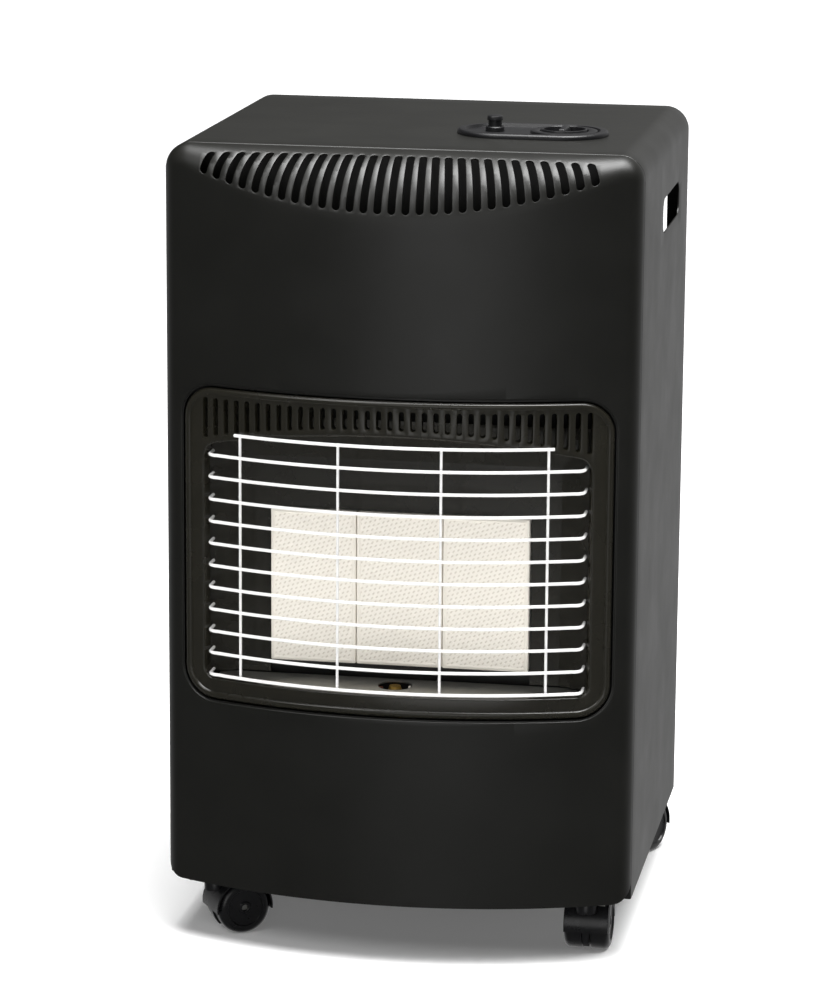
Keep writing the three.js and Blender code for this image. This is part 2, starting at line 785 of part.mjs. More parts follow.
const makeElectrode = () => {
  const z = pilotTop - 34;
  const at = [pilotAt[0] + 13, pilotAt[1]];
  return join(
    rod(2.7, z - 14, z + 20, at, "z", 10),
    rod(4.2, z + sheet + gap, z + 7, at, "z", 10),
    rod(1, z + 19, z + 30, at, "z", 6),
  );
};

// ---------------------------------------------------------------- heat shield
const makeShield = () => {
  const half = halfWidth - sheet - gap;
  const y = frontY + shieldSet;
  const [low, high] = [bottomZ + shieldBottom, bottomZ + shieldTop];
  const wall = block(-half, half, y, y + sheet, low, high);
  const sides = [-1, 1].map((s) => {
    const [a, b] = [s * half, s * (half - sheet)];
    return block(Math.min(a, b), Math.max(a, b), y, y + 14, low, high);
  });
  const hood = block(-half, half, y, y + 40, high - sheet, high);
  return join(wall, hood, ...sides);
};

// ---------------------------------------------------------------- base tray
const makeTray = () => {
  const half = halfWidth - sheet - gap;
  const y0 = frontY + sheet + gap;
  const y1 = rearY - sheet - gap;
  const z0 = bottomZ;
  const pan = cut(
    block(-half, half, y0, y1, z0, z0 + trayLip),
    block(-half + traySheet, half - traySheet, y0 + traySheet, y1 - traySheet, z0 + traySheet, z0 + 60),
  );
  const slots = [-1, 1].map((s) => {
    const x = (s * tongueSpacing) / 2;
    const [a, b] = [x - tongueWidth / 2 - 1, x + tongueWidth / 2 + 1];
    return block(a, b, y1 - 5, y1 + 5, tongueZ - 1, tongueZ + sheet + 1);
  });
  return cut(pan, ...slots);
};
const tongueZ = bottomZ + 10;

// ---------------------------------------------------------------- rear cover
const coverLow = bottomZ + 4;
const coverHigh = coverLow + coverHeight;
const coverHalf = halfWidth - 4;
const coverFaceY = rearY + gap;
const clipAt = [-1, 1].map((s) => [s * (coverHalf - 6), coverHigh - 14]);
const makeCover = () => {
  const margin = 16;
  const slab = alongY(roundedShape(-coverHalf, coverHalf, coverLow, coverHigh, 8), coverFaceY, coverFaceY + sheet);
  const pan = (inset, y0, y1) =>
    alongY(
      roundedShape(
        -coverHalf + margin + inset,
        coverHalf - margin - inset,
        coverLow + margin + inset,
        coverHigh - 2 * margin - inset,
        14 - inset,
      ),
      y0,
      y1,
    );
  const raised = cut(
    pan(0, coverFaceY, coverFaceY + sheet + coverBead),
    pan(sheet, coverFaceY - 1, coverFaceY + coverBead),
  );
  const louvres = [-1, 1].flatMap((s) =>
    [0, 1].flatMap((bank) =>
      Array.from({ length: coverSlots }, (_, i) => {
        const x = (s * (coverSlotLength + coverSlotGap)) / 2;
        const z = coverLow + (bank ? coverHeight - coverSlotHigh : coverSlotLow) + i * coverSlotPitch;
        const [a, b] = [x - coverSlotLength / 2, x + coverSlotLength / 2];
        return alongY(slotShape(a, b, z, z + coverSlotWidth), coverFaceY - 5, coverFaceY + 12);
      }),
    ),
  );
  const tongues = [-1, 1].map((s) => {
    const x = (s * tongueSpacing) / 2;
    return block(
      x - tongueWidth / 2,
      x + tongueWidth / 2,
      coverFaceY - tongueLength,
      coverFaceY + 0.5,
      tongueZ,
      tongueZ + sheet,
    );
  });
  return cut(join(cut(slab, pan(0, coverFaceY - 1, coverFaceY + 3)), raised, ...tongues), ...louvres, ...clipHoles());
};

// Push-in clip, held in the cover; its shank plugs into the wrap's rear return.
const makeClip = ([x, z]) => {
  const y = coverFaceY + sheet + gap;
  const head = rod(clipRadius, y, y + 2.4, [x, z], "y", 16);
  const shank = rod(clipShank, coverFaceY - 9, y + 1, [x, z], "y", 10);
  return join(head, shank);
};

// ---------------------------------------------------------------- controls
const bezelFloor = topZ + 1.4;
const makeBezel = () => {
  const foot = topZ + gap;
  const rim = (inset, z0, z1) =>
    alongZ(stadium(bezelX, bezelY, bezelLength - 2 * inset, bezelDepth - 2 * inset), z0, z1, 7);
  const dome = join(
    rim(0, foot, foot + 1.4),
    rim(1.2, foot + 1.2, foot + 2.8),
    rim(3, foot + 2.6, foot + bezelRise),
  );
  const dish = rim(bezelRim, bezelFloor + gap, topZ + 20);
  const skirt = rim(9, topZ - 8, foot + 1);
  const hollow = rim(10.5, topZ - 10, foot - 0.2);
  const collar = (radius, z0, z1) => rod(radius, z0, z1, knobAt, "z", 24);
  const ring = cut(collar(knobRing, bezelFloor, foot + bezelRise - 0.6), collar(knobRing - knobRingWidth, bezelFloor - 5, topZ + 20));
  const knobWell = collar(knobRadius + 1, topZ - 20, topZ + 20);
  const buttonHole = rod(igniterBarrel + 0.4, topZ - 20, topZ + 20, igniterAt, "z", 20);
  return cut(join(cut(dome, dish), skirt.subtract(hollow), ring), hollow, knobWell, buttonHole);
};

const knobBase = topZ - knobSunk;
const knobTop = knobBase + knobHeight;
const makeKnob = () => {
  const skirt = turned(
    [
      [0, knobBase],
      [knobRadius, knobBase],
      [knobRadius, knobTop - 2],
      [knobRadius - 1.6, knobTop],
      [0, knobTop],
    ],
    knobAt,
    28,
  );
  const hollow = turned(
    [
      [0, knobTop - knobDish],
      [knobRadius - 5, knobTop - knobDish],
      [knobRadius - 3, knobTop + 1],
      [0, knobTop + 1],
    ],
    knobAt,
    28,
  );
  const [x, y] = knobAt;
  const half = knobGrip / 2;
  const bar = block(x - half, x + half, y - knobRadius + 3.2, y + knobRadius - 3.2, knobTop - knobDish - 1, knobTop + 1.5);
  const bore = rod(spindleRadius + 0.4, knobBase - 1, knobTop - knobDish - 2, knobAt, "z", 12);
  return cut(join(cut(skirt, hollow), bar), bore);
};

const spindleRadius = 4;
const valveTop = topZ - 34;
const valveHeight = 30;
const valveRadius = 15;
const makeSpindle = () =>
  join(
    rod(spindleRadius, valveTop - 6, knobTop - knobDish - 2.6, knobAt, "z", 12),
    rod(spindleRadius + 2.5, valveTop + 16, valveTop + 19, knobAt, "z", 12),
  );

// The rod that the spindle presses down to open the flame-failure valve.
const makePushRod = () =>
  join(
    rod(2.5, valveTop - 20, valveTop - 6 - gap, knobAt, "z", 10),
    rod(4, valveTop - 9, valveTop - 6 - gap, knobAt, "z", 12),
  );

// The three outlets, one above another.
const outletPitch = 9;
const outletZ = (i) => valveTop - 6 - i * outletPitch;

const makeValve = () => {
  const [x, y] = knobAt;
  const body = rod(valveRadius, valveTop - valveHeight, valveTop, knobAt, "z", 20);
  const neck = rod(9, valveTop - 1, valveTop + 8, knobAt, "z", 16);
  const outlets = burnerXs.map((_, i) =>
    rod(3.8, x - valveRadius - 8, x - 4, [y, outletZ(i)], "x", 8),
  );
  const inlet = rod(6, y + 8, y + valveRadius + 10, [x, valveTop - 16], "y", 10);
  const safety = rod(8, valveTop - valveHeight - 20, valveTop - valveHeight + 1, knobAt, "z", 14);
  const bore = join(
    rod(spindleRadius + 0.6, valveTop - 11.5 - knobPush, valveTop + 20, knobAt, "z", 16),
    rod(3.2, valveTop - valveHeight - 5, valveTop - 5, knobAt, "z", 12),
  );
  return cut(join(body, neck, inlet, safety, ...outlets), bore);
};

// Strap from the valve's neck to the underside of the top, either side of the bezel's hole.
const makeValveBracket = () => {
  const [x, y] = knobAt;
  const z = valveTop + 8 + gap;
  const high = topZ - sheet - gap;
  const reach = bezelDepth / 2 - 2;
  const plate = block(x - 14, x + 14, y - reach, y + reach, z, z + sheet);
  const legs = [-1, 1].flatMap((s) => {
    const [inner, outer, foot] = [y + s * (reach - sheet), y + s * reach, y + s * (reach + 9)];
    return [
      block(x - 14, x + 14, Math.min(inner, outer), Math.max(inner, outer), z, high),
      block(x - 14, x + 14, Math.min(inner, foot), Math.max(inner, foot), high - sheet, high),
    ];
  });
  return cut(join(plate, ...legs), rod(7.5, z - 3, z + 5, knobAt, "z", 16));
};

// Igniter: barrel up through the bezel, and a lock nut under the bezel's floor.
const makeIgniterBody = () => {
  const low = topZ - 58;
  const body = rod(igniterBarrel, low, topZ + 6, igniterAt, "z", 20);
  const nut = rod(12, topZ - 4.2, topZ - 0.2, igniterAt, "z", 6);
  const tail = rod(3, low - 10, low + 1, igniterAt, "z", 8);
  return cut(join(body, nut, tail), rod(igniterRadius + 0.5, topZ - 30, topZ + 10, igniterAt, "z", 20));
};

const buttonTop = topZ + 6 + 2 * igniterTravel;
const makeButton = () =>
  turned(
    [
      [0, topZ - 22],
      [igniterRadius, topZ - 22],
      [igniterRadius, buttonTop - 2],
      [igniterRadius - 2, buttonTop],
      [0, buttonTop],
    ],
    igniterAt,
    20,
  );

// ---------------------------------------------------------------- pipes and leads
// Copper pipe from each valve outlet to the injector rail.
const makeBurnerPipe = (i) => {
  const [x, y] = knobAt;
  const startX = x - valveRadius - 8 - gap;
  const endX = burnerXs[i] + 19;
  const z = outletZ(i);
  const low = railZ + 6 + 2 * gap;
  const lean = (endX - startX) / 2;
  return wire(
    [
      [startX, y, z],
      [startX - 8, y, z],
      [startX - 12 + lean * 0.4, pipeY + 40, z - 8],
      [startX - 12 + lean * 1.4, pipeY + 2, z - 66],
      [endX, pipeY, plaqueHigh - 20],
      [endX, pipeY, low + 60],
      [endX, mixerY + 6, low + 32],
      [endX, mixerY, low + 12],
      [endX, mixerY, low],
    ],
    2.5,
    18,
    6,
  );
};
const pipeY = frontY + shieldSet - 10;

const makePilotPipe = () => {
  const [x, y] = knobAt;
  const z = pilotTop - 34 - 12 - gap;
  const startY = y - valveRadius - gap;
  return wire(
    [
      [x, startY, valveTop - 20],
      [x, startY - 14, valveTop - 24],
      [x + 10, pipeY + 4, valveTop - 76],
      [burnerHalf + 21, pipeY - 2, plaqueHigh],
      [burnerHalf + 21, pipeY - 4, plaqueLow + 10],
      [burnerHalf + 5, mixerY, railZ - 10],
      [30, frontY - 14, railZ - 14],
      [6, pilotAt[1], railZ - 12],
      [pilotAt[0], pilotAt[1], z - 12],
      [pilotAt[0], pilotAt[1], z],
    ],
    1.6,
    22,
    5,
  );
};

// High-tension lead from the igniter's tail to the electrode.
const makeIgnitionLead = () => {
  const [x, y] = igniterAt;
  const top = topZ - 68 - gap;
  const end = pilotTop - 34 - 14 - gap;
  const tip = [pilotAt[0] + 13, pilotAt[1]];
  return wire(
    [
      [x, y, top],
      [x, y, top - 16],
      [x + 10, pipeY + 24, top - 40],
      [x + 40, pipeY, top - 80],
      [burnerHalf + 9, pipeY - 2, plaqueHigh + 6],
      [burnerHalf + 9, pipeY - 6, plaqueLow + 20],
      [burnerHalf - 3, mixerY - 4, railZ - 2],
      [44, frontY - 18, railZ - 4],
      [18, tip[1], railZ - 4],
      [tip[0], tip[1], end - 12],
      [tip[0], tip[1], end],
    ],
    1.5,
    22,
    5,
  );
};

// Hose nozzle screwed into the valve's inlet.
const makeInletNozzle = () => {
  const [x, y] = knobAt;
  const start = y + valveRadius + 10 + gap;
  const z = valveTop - 16;
  return join(
    rod(8, start, start + 9, [x, z], "y", 6),
    rod(4.2, start + 8, start + 34, [x, z], "y", 12),
    ...[0, 1, 2].map((i) => rod(5, start + 14 + i * 7, start + 17 + i * 7, [x, z], "y", 12)),
  );
};

// ---------------------------------------------------------------- castors
const castors = [
  { name: "front_left", side: -1, y: frontY + castorFront, turn: 213 },
  { name: "front_right", side: 1, y: frontY + castorFront, turn: 270 },
  { name: "rear_left", side: -1, y: rearY - castorRear, turn: 110 },
  { name: "rear_right", side: 1, y: rearY - castorRear, turn: 246 },
];
const castorX = halfWidth - castorInset;
const plateTop = bottomZ - gap;
const plateLow = plateTop - plateThickness;
const hoodTop = plateLow - gap;
const wheelOuter = wheelSpacing / 2 + wheelWidth;
const wheelVertex = wheelRadius / Math.cos(Math.PI / wheelFacets);

// Fixed plate with the pin that the castor turns on.
const makeCastorPlate = () =>
  join(
    block(-castorPlate / 2, castorPlate / 2, -castorPlate / 2, castorPlate / 2, plateLow, plateTop),
    rod(kingpinRadius, plateLow - 9, plateLow + 1, [0, 0], "z", 12),
  );

// Hood over both wheels, with its middle web and the boss round the pin. It trails along -X.
const makeHood = () => {
  const centre = [-castorTrail, wheelRadius];
  const half = wheelOuter - 0.5;
  const axisY = (radius, from, to, sides) =>
    rod(radius, from, to, centre, "y", sides);
  const keepTop = block(-80, 40, -60, 60, wheelRadius - 3, 100);
  const drum = axisY(hoodRadius, -half, half, 20).intersect(keepTop);
  const boss = rod(9.5, wheelRadius + 12, hoodTop, [0, 0], "z", 16);
  const room = [-1, 1].map((s) => {
    const [a, b] = [s * (wheelSpacing / 2 - 0.6), s * (wheelOuter + 30)];
    return axisY(hoodRadius - hoodWall, Math.min(a, b), Math.max(a, b), 20);
  });
  const web = axisY(hoodRadius - 1, -wheelSpacing / 2 + 0.6, wheelSpacing / 2 - 0.6, 20).intersect(
    block(-80, 10, -10, 10, wheelRadius - 9, 100),
  );
  const bores = [
    rod(kingpinRadius + 0.35, plateLow - 10, plateLow + 5, [0, 0], "z", 12),
    rod(axleRadius + gap, -30, 30, centre, "y", 12),
  ];
  return cut(join(cut(join(drum, boss), ...room), web), ...bores);
};

const makeAxle = () => rod(axleRadius, -wheelOuter + 3, wheelOuter - 3, [-castorTrail, wheelRadius], "y", 12);

// One wheel, with its outer edge taken off.
const makeWheel = (side) => {
  const inner = wheelSpacing / 2;
  const outer = wheelOuter;
  const r = wheelVertex;
  const bore = axleRadius + 0.12;
  const profile = [
    [bore, inner],
    [r, inner],
    [r, outer - 3],
    [r - 4, outer],
    [bore, outer],
    [bore, inner],
  ];
  const geometry = new THREE.LatheGeometry(
    profile.map(([a, b]) => new THREE.Vector2(a, b)),
    wheelFacets,
  );
  geometry.rotateY(Math.PI / wheelFacets);
  if (side < 0) geometry.rotateX(Math.PI);
  geometry.translate(-castorTrail, 0, wheelRadius);
  return solidOf(geometry);
};

// ---------------------------------------------------------------- assembly
const finish = (color, roughness, metalness) => ({ color, roughness, metalness });
const finishes = {
  paint: finish(0x1c1c1a, 0.55, 0.3),
  enamel: finish(0x24231f, 0.4, 0.3),
  chrome: finish(0xe6e6e6, 0.2, 1),
  ceramic: finish(0xe9e2cf, 0.9, 0),
  steel: finish(0x9a9a96, 0.4, 1),
  brass: finish(0xb08d45, 0.35, 1),
  copper: finish(0xa8653f, 0.4, 1),
  plastic: finish(0x18181a, 0.45, 0),
  lead: finish(0xc9c4b8, 0.6, 0),
};

const heater = new THREE.Group();
const add = (name, solid, kind, parent = heater) => {
  const material = new THREE.MeshStandardMaterial(finishes[kind]);
  const mesh = new THREE.Mesh(geometryOf(solid), material);
  mesh.name = name;
  parent.add(mesh);
};

add("cabinet_wrap", makeWrap(), "paint");
add("front_panel", makeFrontPanel(), "paint");
add("burner_surround", makeSurround(), "enamel");
add("wire_guard", makeGuard(), "chrome");
add("burner_panel", makeBurnerPanel(), "paint");
add("reflector", makeReflector(), "enamel");
add("reflector_shelf", makeShelf(), "steel");
add("heat_shield", makeShield(), "steel");
add("base_tray", makeTray(), "paint");
["left", "centre", "right"].forEach((place, i) => {
  add(`plaque_${place}`, makePlaque(burnerXs[i]), "ceramic");
  add(`burner_box_${place}`, makeBurner(burnerXs[i]), "steel");
  add(`burner_pipe_${place}`, makeBurnerPipe(i), "copper");
});
add("injector_rail", makeInjectorRail(), "brass");
add("pilot_bracket", makePilotBracket(), "steel");
add("pilot_burner", makePilotBurner(), "brass");
add("thermocouple", makeThermocouple(), "copper");
add("spark_electrode", makeElectrode(), "ceramic");
add("pilot_pipe", makePilotPipe(), "copper");
add("ignition_lead", makeIgnitionLead(), "lead");
add("control_bezel", makeBezel(), "plastic");
add("control_knob", makeKnob(), "plastic");
add("valve_spindle", makeSpindle(), "brass");
add("valve_push_rod", makePushRod(), "steel");
add("gas_valve", makeValve(), "brass");
add("valve_bracket", makeValveBracket(), "steel");
add("inlet_nozzle", makeInletNozzle(), "brass");
add("igniter_body", makeIgniterBody(), "plastic");
add("igniter_button", makeButton(), "plastic");
add("rear_cover", makeCover(), "paint");
add("cover_clip_left", makeClip(clipAt[0]), "plastic");
add("cover_clip_right", makeClip(clipAt[1]), "plastic");
castors.forEach(({ name, side, y, turn }) => {
  const place = new THREE.Group();
  place.position.set(side * castorX, y, 0);
  const swivel = new THREE.Group();
  swivel.rotation.z = (turn * Math.PI) / 180;
  place.add(swivel);
  heater.add(place);
  add(`castor_plate_${name}`, makeCastorPlate(), "steel", place);
  add(`castor_hood_${name}`, makeHood(), "plastic", swivel);
  add(`castor_axle_${name}`, makeAxle(), "steel", swivel);
  add(`castor_wheel_a_${name}`, makeWheel(-1), "plastic", swivel);
  add(`castor_wheel_b_${name}`, makeWheel(1), "plastic", swivel);
});

export default heater;
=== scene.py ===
# Portable gas cabinet heater: a black powder-coated sheet-steel cabinet on four castors.
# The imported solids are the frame; the visible sheets, wires, plaques, controls and castors
# are made here over them. Sizes in the dictionaries are millimetres unless they say otherwise.
import math

import bmesh
import bpy
from mathutils import Matrix, Vector


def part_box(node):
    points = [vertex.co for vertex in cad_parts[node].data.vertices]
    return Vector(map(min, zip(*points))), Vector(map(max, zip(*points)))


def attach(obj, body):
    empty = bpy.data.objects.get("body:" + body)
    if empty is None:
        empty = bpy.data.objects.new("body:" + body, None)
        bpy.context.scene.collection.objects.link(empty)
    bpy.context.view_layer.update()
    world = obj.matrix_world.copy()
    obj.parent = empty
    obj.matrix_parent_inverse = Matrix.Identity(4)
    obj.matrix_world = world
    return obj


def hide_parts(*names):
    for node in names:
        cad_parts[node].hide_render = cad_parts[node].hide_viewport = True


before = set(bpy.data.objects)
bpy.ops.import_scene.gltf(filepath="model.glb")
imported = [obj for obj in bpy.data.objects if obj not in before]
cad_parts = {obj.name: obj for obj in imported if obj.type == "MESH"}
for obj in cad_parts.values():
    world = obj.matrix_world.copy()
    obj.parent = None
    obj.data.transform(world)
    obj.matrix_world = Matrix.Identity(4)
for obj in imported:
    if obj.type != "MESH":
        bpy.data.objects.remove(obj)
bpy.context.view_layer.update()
mm = 0.001

# the frame's own planes, in millimetres
wrapLow, wrapHigh = [[v / mm for v in corner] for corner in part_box("cabinet_wrap")]
halfWidth = wrapHigh[0]
frontY = wrapLow[1]
rearY = wrapHigh[1]
topZ = wrapHigh[2]
bottomZ = wrapLow[2]
print("frame loaded: front", round(frontY, 2), "rear", round(rearY, 2), "top", round(topZ, 2))


cameraInfo = {
    "place": (0.5886, -3.4472, 1.1751),  # metres
    "azimuth": 9.8558,  # degrees to the right of straight on
    "elevation": 12.8461,
    "roll": 0.433,
    "lens": 140.81,
    "sensor": 36,
    "farthest": 100,  # metres
}


def makeCamera(info):
    az, el, roll = [math.radians(info[k]) for k in ("azimuth", "elevation", "roll")]
    forward = Vector((-math.sin(az) * math.cos(el), math.cos(az) * math.cos(el), -math.sin(el)))
    right = Vector((math.cos(az), math.sin(az), 0))
    up = right.cross(forward)
    tiltedRight = right * math.cos(roll) + up * math.sin(roll)
    tiltedUp = tiltedRight.cross(forward)
    data = bpy.data.cameras.new("studioCamera")
    data.lens = info["lens"]
    data.sensor_width = info["sensor"]
    data.clip_end = info["farthest"]
    camera = bpy.data.objects.new("studioCamera", data)
    turn = Matrix((tiltedRight, tiltedUp, -forward)).transposed().to_4x4()
    camera.matrix_world = Matrix.Translation(info["place"]) @ turn
    bpy.context.scene.collection.objects.link(camera)
    bpy.context.scene.camera = camera


def hexColor(text):
    channels = [int(text[i : i + 2], 16) / 255 for i in (0, 2, 4)]
    linear = [c / 12.92 if c <= 0.04045 else ((c + 0.055) / 1.055) ** 2.4 for c in channels]
    return (*linear, 1.0)


def addNode(tree, kind, settings=None, inputs=None, links=None, feeds=None):
    node = tree.nodes.new("ShaderNode" + kind)
    for name, value in (settings or {}).items():
        setattr(node, name, value)
    for name, value in (inputs or {}).items():
        node.inputs[name].default_value = value
    for name, socket in (links or {}).items():
        tree.links.new(socket, node.inputs[name])
    for name, socket in (feeds or {}).items():
        tree.links.new(node.outputs[name], socket)
    return node


def startMaterial(name, info, metallic=0.0):
    material = bpy.data.materials.new(name)
    material.use_nodes = True
    tree = material.node_tree
    shader = tree.nodes["Principled BSDF"]
    shader.inputs["Base Color"].default_value = hexColor(info["color"])
    shader.inputs["Roughness"].default_value = info["roughness"]
    shader.inputs["Metallic"].default_value = metallic
    shader.inputs["Specular IOR Level"].default_value = info.get("specular", 0.5)
    return material, tree, shader, addNode(tree, "TexCoord").outputs["Object"]


stageInfo = {
    "floorSize": 60.0,  # metres
    "color": "F6F6F6", "roughness": 0.9, "specular": 0.1, "glow": 0.11,
}


def makeStage(info):
    bm = bmesh.new()
    bmesh.ops.create_grid(bm, x_segments=1, y_segments=1, size=info["floorSize"] / 2)
    mesh = bpy.data.meshes.new("studioFloor")
    bm.to_mesh(mesh)
    bm.free()
    floor = bpy.data.objects.new("studioFloor", mesh)
    material, _, shader, _ = startMaterial("studio paper", info)
    # a little light of its own, as a backlit sweep has, keeps the shadow open
    shader.inputs["Emission Color"].default_value = (1, 1, 1, 1)
    shader.inputs["Emission Strength"].default_value = info["glow"]
    mesh.materials.append(material)
    bpy.context.scene.collection.objects.link(floor)
    floor.visible_glossy = False  # keeps the pale floor out of the dark paint


lightInfo = {
    "frontHigh": {"place": (-1.3, -2.6, 2.9), "aim": (0, -0.1, 0.35), "size": 1.4, "watts": 30},
    "frontLow": {"place": (0.2, -3.2, 0.5), "aim": (0, 0, 0.1), "size": 1.6, "watts": 10},
    "overhead": {"place": (0.0, -0.2, 3.0), "aim": (0, 0, 0.4), "size": 2.0, "watts": 95},
}
skyInfo = {"toward": (0.28, -0.12, 1.0), "strength": 3.8, "spread": 42}  # spread in degrees


def makeLights(info):
    # square lamps; places and sizes in metres
    for name, light in info.items():
        data = bpy.data.lights.new(name, "AREA")
        data.energy = light["watts"]
        data.size = light["size"]
        lamp = bpy.data.objects.new(name, data)
        lamp.location = light["place"]
        aim = Vector(light["aim"]) - Vector(light["place"])
        lamp.rotation_euler = aim.to_track_quat("-Z", "Y").to_euler()
        bpy.context.scene.collection.objects.link(lamp)


def makeSky(info):
    # one very wide light overhead, for the soft shadow under the casing
    data = bpy.data.lights.new("broadLight", "SUN")
    data.energy = info["strength"]
    data.angle = math.radians(info["spread"])
    lamp = bpy.data.objects.new("broadLight", data)
    lamp.rotation_euler = Vector(info["toward"]).to_track_quat("Z", "Y").to_euler()
    bpy.context.scene.collection.objects.link(lamp)


worldInfo = {
    "backLow": 0.56, "backLeft": 0.02, "backRight": 0.4, "front": 0.09, "seen": 1.0,
    # parts of a direction between which the brightness changes
    "sideways": (-0.3, 0.15), "upward": (-0.25, 0.25), "backward": (-0.3, 0.9),
}


def makeWorld(info):
    world = bpy.data.worlds.new("studio")
    bpy.context.scene.world = world
    world.use_nodes = True
    tree = world.node_tree
    background = tree.nodes["Background"]
    # bright behind the heater and dark in front of it, as a white sweep lit from above gives
    coords = addNode(tree, "TexCoord")
    split = addNode(tree, "SeparateXYZ", links={"Vector": coords.outputs["Generated"]})
    level = None
    for axis, span, low in (
        ("X", "sideways", "backLeft"), ("Z", "upward", "backLow"), ("Y", "backward", "front"),
    ):
        links = {"Value": split.outputs[axis]}
        if level is not None:
            links["To Max"] = level
        level = addNode(
            tree, "MapRange",
            settings={"interpolation_type": "SMOOTHSTEP"},
            inputs={
                "From Min": info[span][0], "From Max": info[span][1],
                "To Min": info[low], "To Max": info["backRight"],
            },
            links=links,
        ).outputs["Result"]
    path = addNode(tree, "LightPath")
    addNode(
        tree, "Mix",
        inputs={"B": info["seen"]},
        links={"Factor": path.outputs["Is Camera Ray"], "A": level},
        feeds={"Result": background.inputs["Strength"]},
    )
    background.inputs["Color"].default_value = (1, 1, 1, 1)


makeCamera(cameraInfo)
makeStage(stageInfo)
makeLights(lightInfo)
makeSky(skyInfo)
makeWorld(worldInfo)
bpy.context.scene.view_settings.view_transform = "Standard"
print("camera, floor and lights ready")


def paintLike(name, info):
    # fine orange peel from the melted powder, and a slightly uneven sheen
    material, tree, shader, coords = startMaterial(name, info)
    peel = addNode(
        tree, "TexNoise",
        inputs={"Scale": 1 / (info["peelSize"] * mm), "Detail": 2.0, "Roughness": 0.5},
        links={"Vector": coords},
    )
    addNode(
        tree, "Bump",
        inputs={"Strength": info["peelStrength"], "Distance": info["peelDepth"] * mm},
        links={"Height": peel.outputs["Fac"]},
        feeds={"Normal": shader.inputs["Normal"]},
    )
    cloud = addNode(
        tree, "TexNoise",
        inputs={"Scale": 1 / (info["cloudSize"] * mm), "Detail": 3.0, "Roughness": 0.55},
        links={"Vector": coords},
    )
    addNode(
        tree, "MapRange",
        inputs={
            "From Min": 0.3, "From Max": 0.7,
            "To Min": info["roughness"] - info["sheenSpread"],
            "To Max": info["roughness"] + info["sheenSpread"],
        },
        links={"Value": cloud.outputs["Fac"]},
        feeds={"Result": shader.inputs["Roughness"]},
    )
    addNode(
        tree, "Mix",
        settings={"data_type": "RGBA"},
        inputs={6: hexColor(info["color"]), 7: hexColor(info["color2"])},
        links={"Factor": cloud.outputs["Fac"]},
        feeds={2: shader.inputs["Base Color"]},
    )
    return material


powderInfo = {
    "color": "0D0D0A", "color2": "12120E", "roughness": 0.4,
    "peelSize": 1.4, "peelStrength": 0.25, "peelDepth": 0.03, "cloudSize": 60, "sheenSpread": 0.03,
}
enamelInfo = {
    "color": "181711", "color2": "1E1C15", "roughness": 0.26,
    "peelSize": 1.1, "peelStrength": 0.2, "peelDepth": 0.03, "cloudSize": 40, "sheenSpread": 0.04,
}
plasticInfo = {
    "color": "0C0C0E", "color2": "111113", "roughness": 0.4,
    "peelSize": 0.5, "peelStrength": 0.2, "peelDepth": 0.02, "cloudSize": 15, "sheenSpread": 0.04,
}
nylonInfo = {
    "color": "0C0C0E", "color2": "131315", "roughness": 0.3,
    "peelSize": 0.8, "peelStrength": 0.15, "peelDepth": 0.02, "cloudSize": 12, "sheenSpread": 0.05,
}
powderCoat = paintLike("satin black powder coat", powderInfo)
surroundEnamel = paintLike("baked black enamel", enamelInfo)
blackPlastic = paintLike("moulded black ABS", plasticInfo)
castorNylon = paintLike("moulded black nylon", nylonInfo)


def metalLike(name, info):
    # rolled or drawn metal: fine streaks along one axis and a little tarnish
    material, tree, shader, coords = startMaterial(name, info, 1.0)
    stretch = addNode(
        tree, "Mapping", inputs={"Scale": info["stretch"]}, links={"Vector": coords}
    )
    streaks = addNode(
        tree, "TexNoise",
        inputs={"Scale": 1 / (info["grain"] * mm), "Detail": 3.0, "Roughness": 0.6},
        links={"Vector": stretch.outputs["Vector"]},
    )
    addNode(
        tree, "Bump",
        inputs={"Strength": info["streakStrength"], "Distance": info["streakDepth"] * mm},
        links={"Height": streaks.outputs["Fac"]},
        feeds={"Normal": shader.inputs["Normal"]},
    )
    tarnish = addNode(
        tree, "TexNoise",
        inputs={"Scale": 1 / (info["tarnishSize"] * mm), "Detail": 4.0, "Roughness": 0.6},
        links={"Vector": coords},
    )
    addNode(
        tree, "Mix",
        settings={"data_type": "RGBA"},
        inputs={6: hexColor(info["color"]), 7: hexColor(info["tarnish"])},
        links={"Factor": tarnish.outputs["Fac"]},
        feeds={2: shader.inputs["Base Color"]},
    )
    addNode(
        tree, "MapRange",
        inputs={
            "To Min": info["roughness"] - info["brighter"],
            "To Max": info["roughness"] + info["duller"],
        },
        links={"Value": tarnish.outputs["Fac"]},
        feeds={"Result": shader.inputs["Roughness"]},
    )
    return material


metalInfo = {
    "stretch": (1, 1, 1), "grain": 0.5, "streakStrength": 0.2, "streakDepth": 0.02,
    "brighter": 0.08, "duller": 0.12,
}
steelInfo = {
    **metalInfo, "color": "C8C8C4", "tarnish": "A5A49F", "roughness": 0.32, "grain": 0.6,
    "stretch": (0.1, 1, 1), "tarnishSize": 25,
}
brassInfo = {
    **metalInfo, "color": "C2A052", "tarnish": "8A6C35", "roughness": 0.32, "tarnishSize": 8,
}
copperInfo = {
    **metalInfo, "color": "B87450", "tarnish": "7A4630", "roughness": 0.34, "tarnishSize": 14,
}
galvanisedSteel = metalLike("zinc-plated sheet steel", steelInfo)
turnedBrass = metalLike("turned brass", brassInfo)
copperTube = metalLike("drawn copper tube", copperInfo)


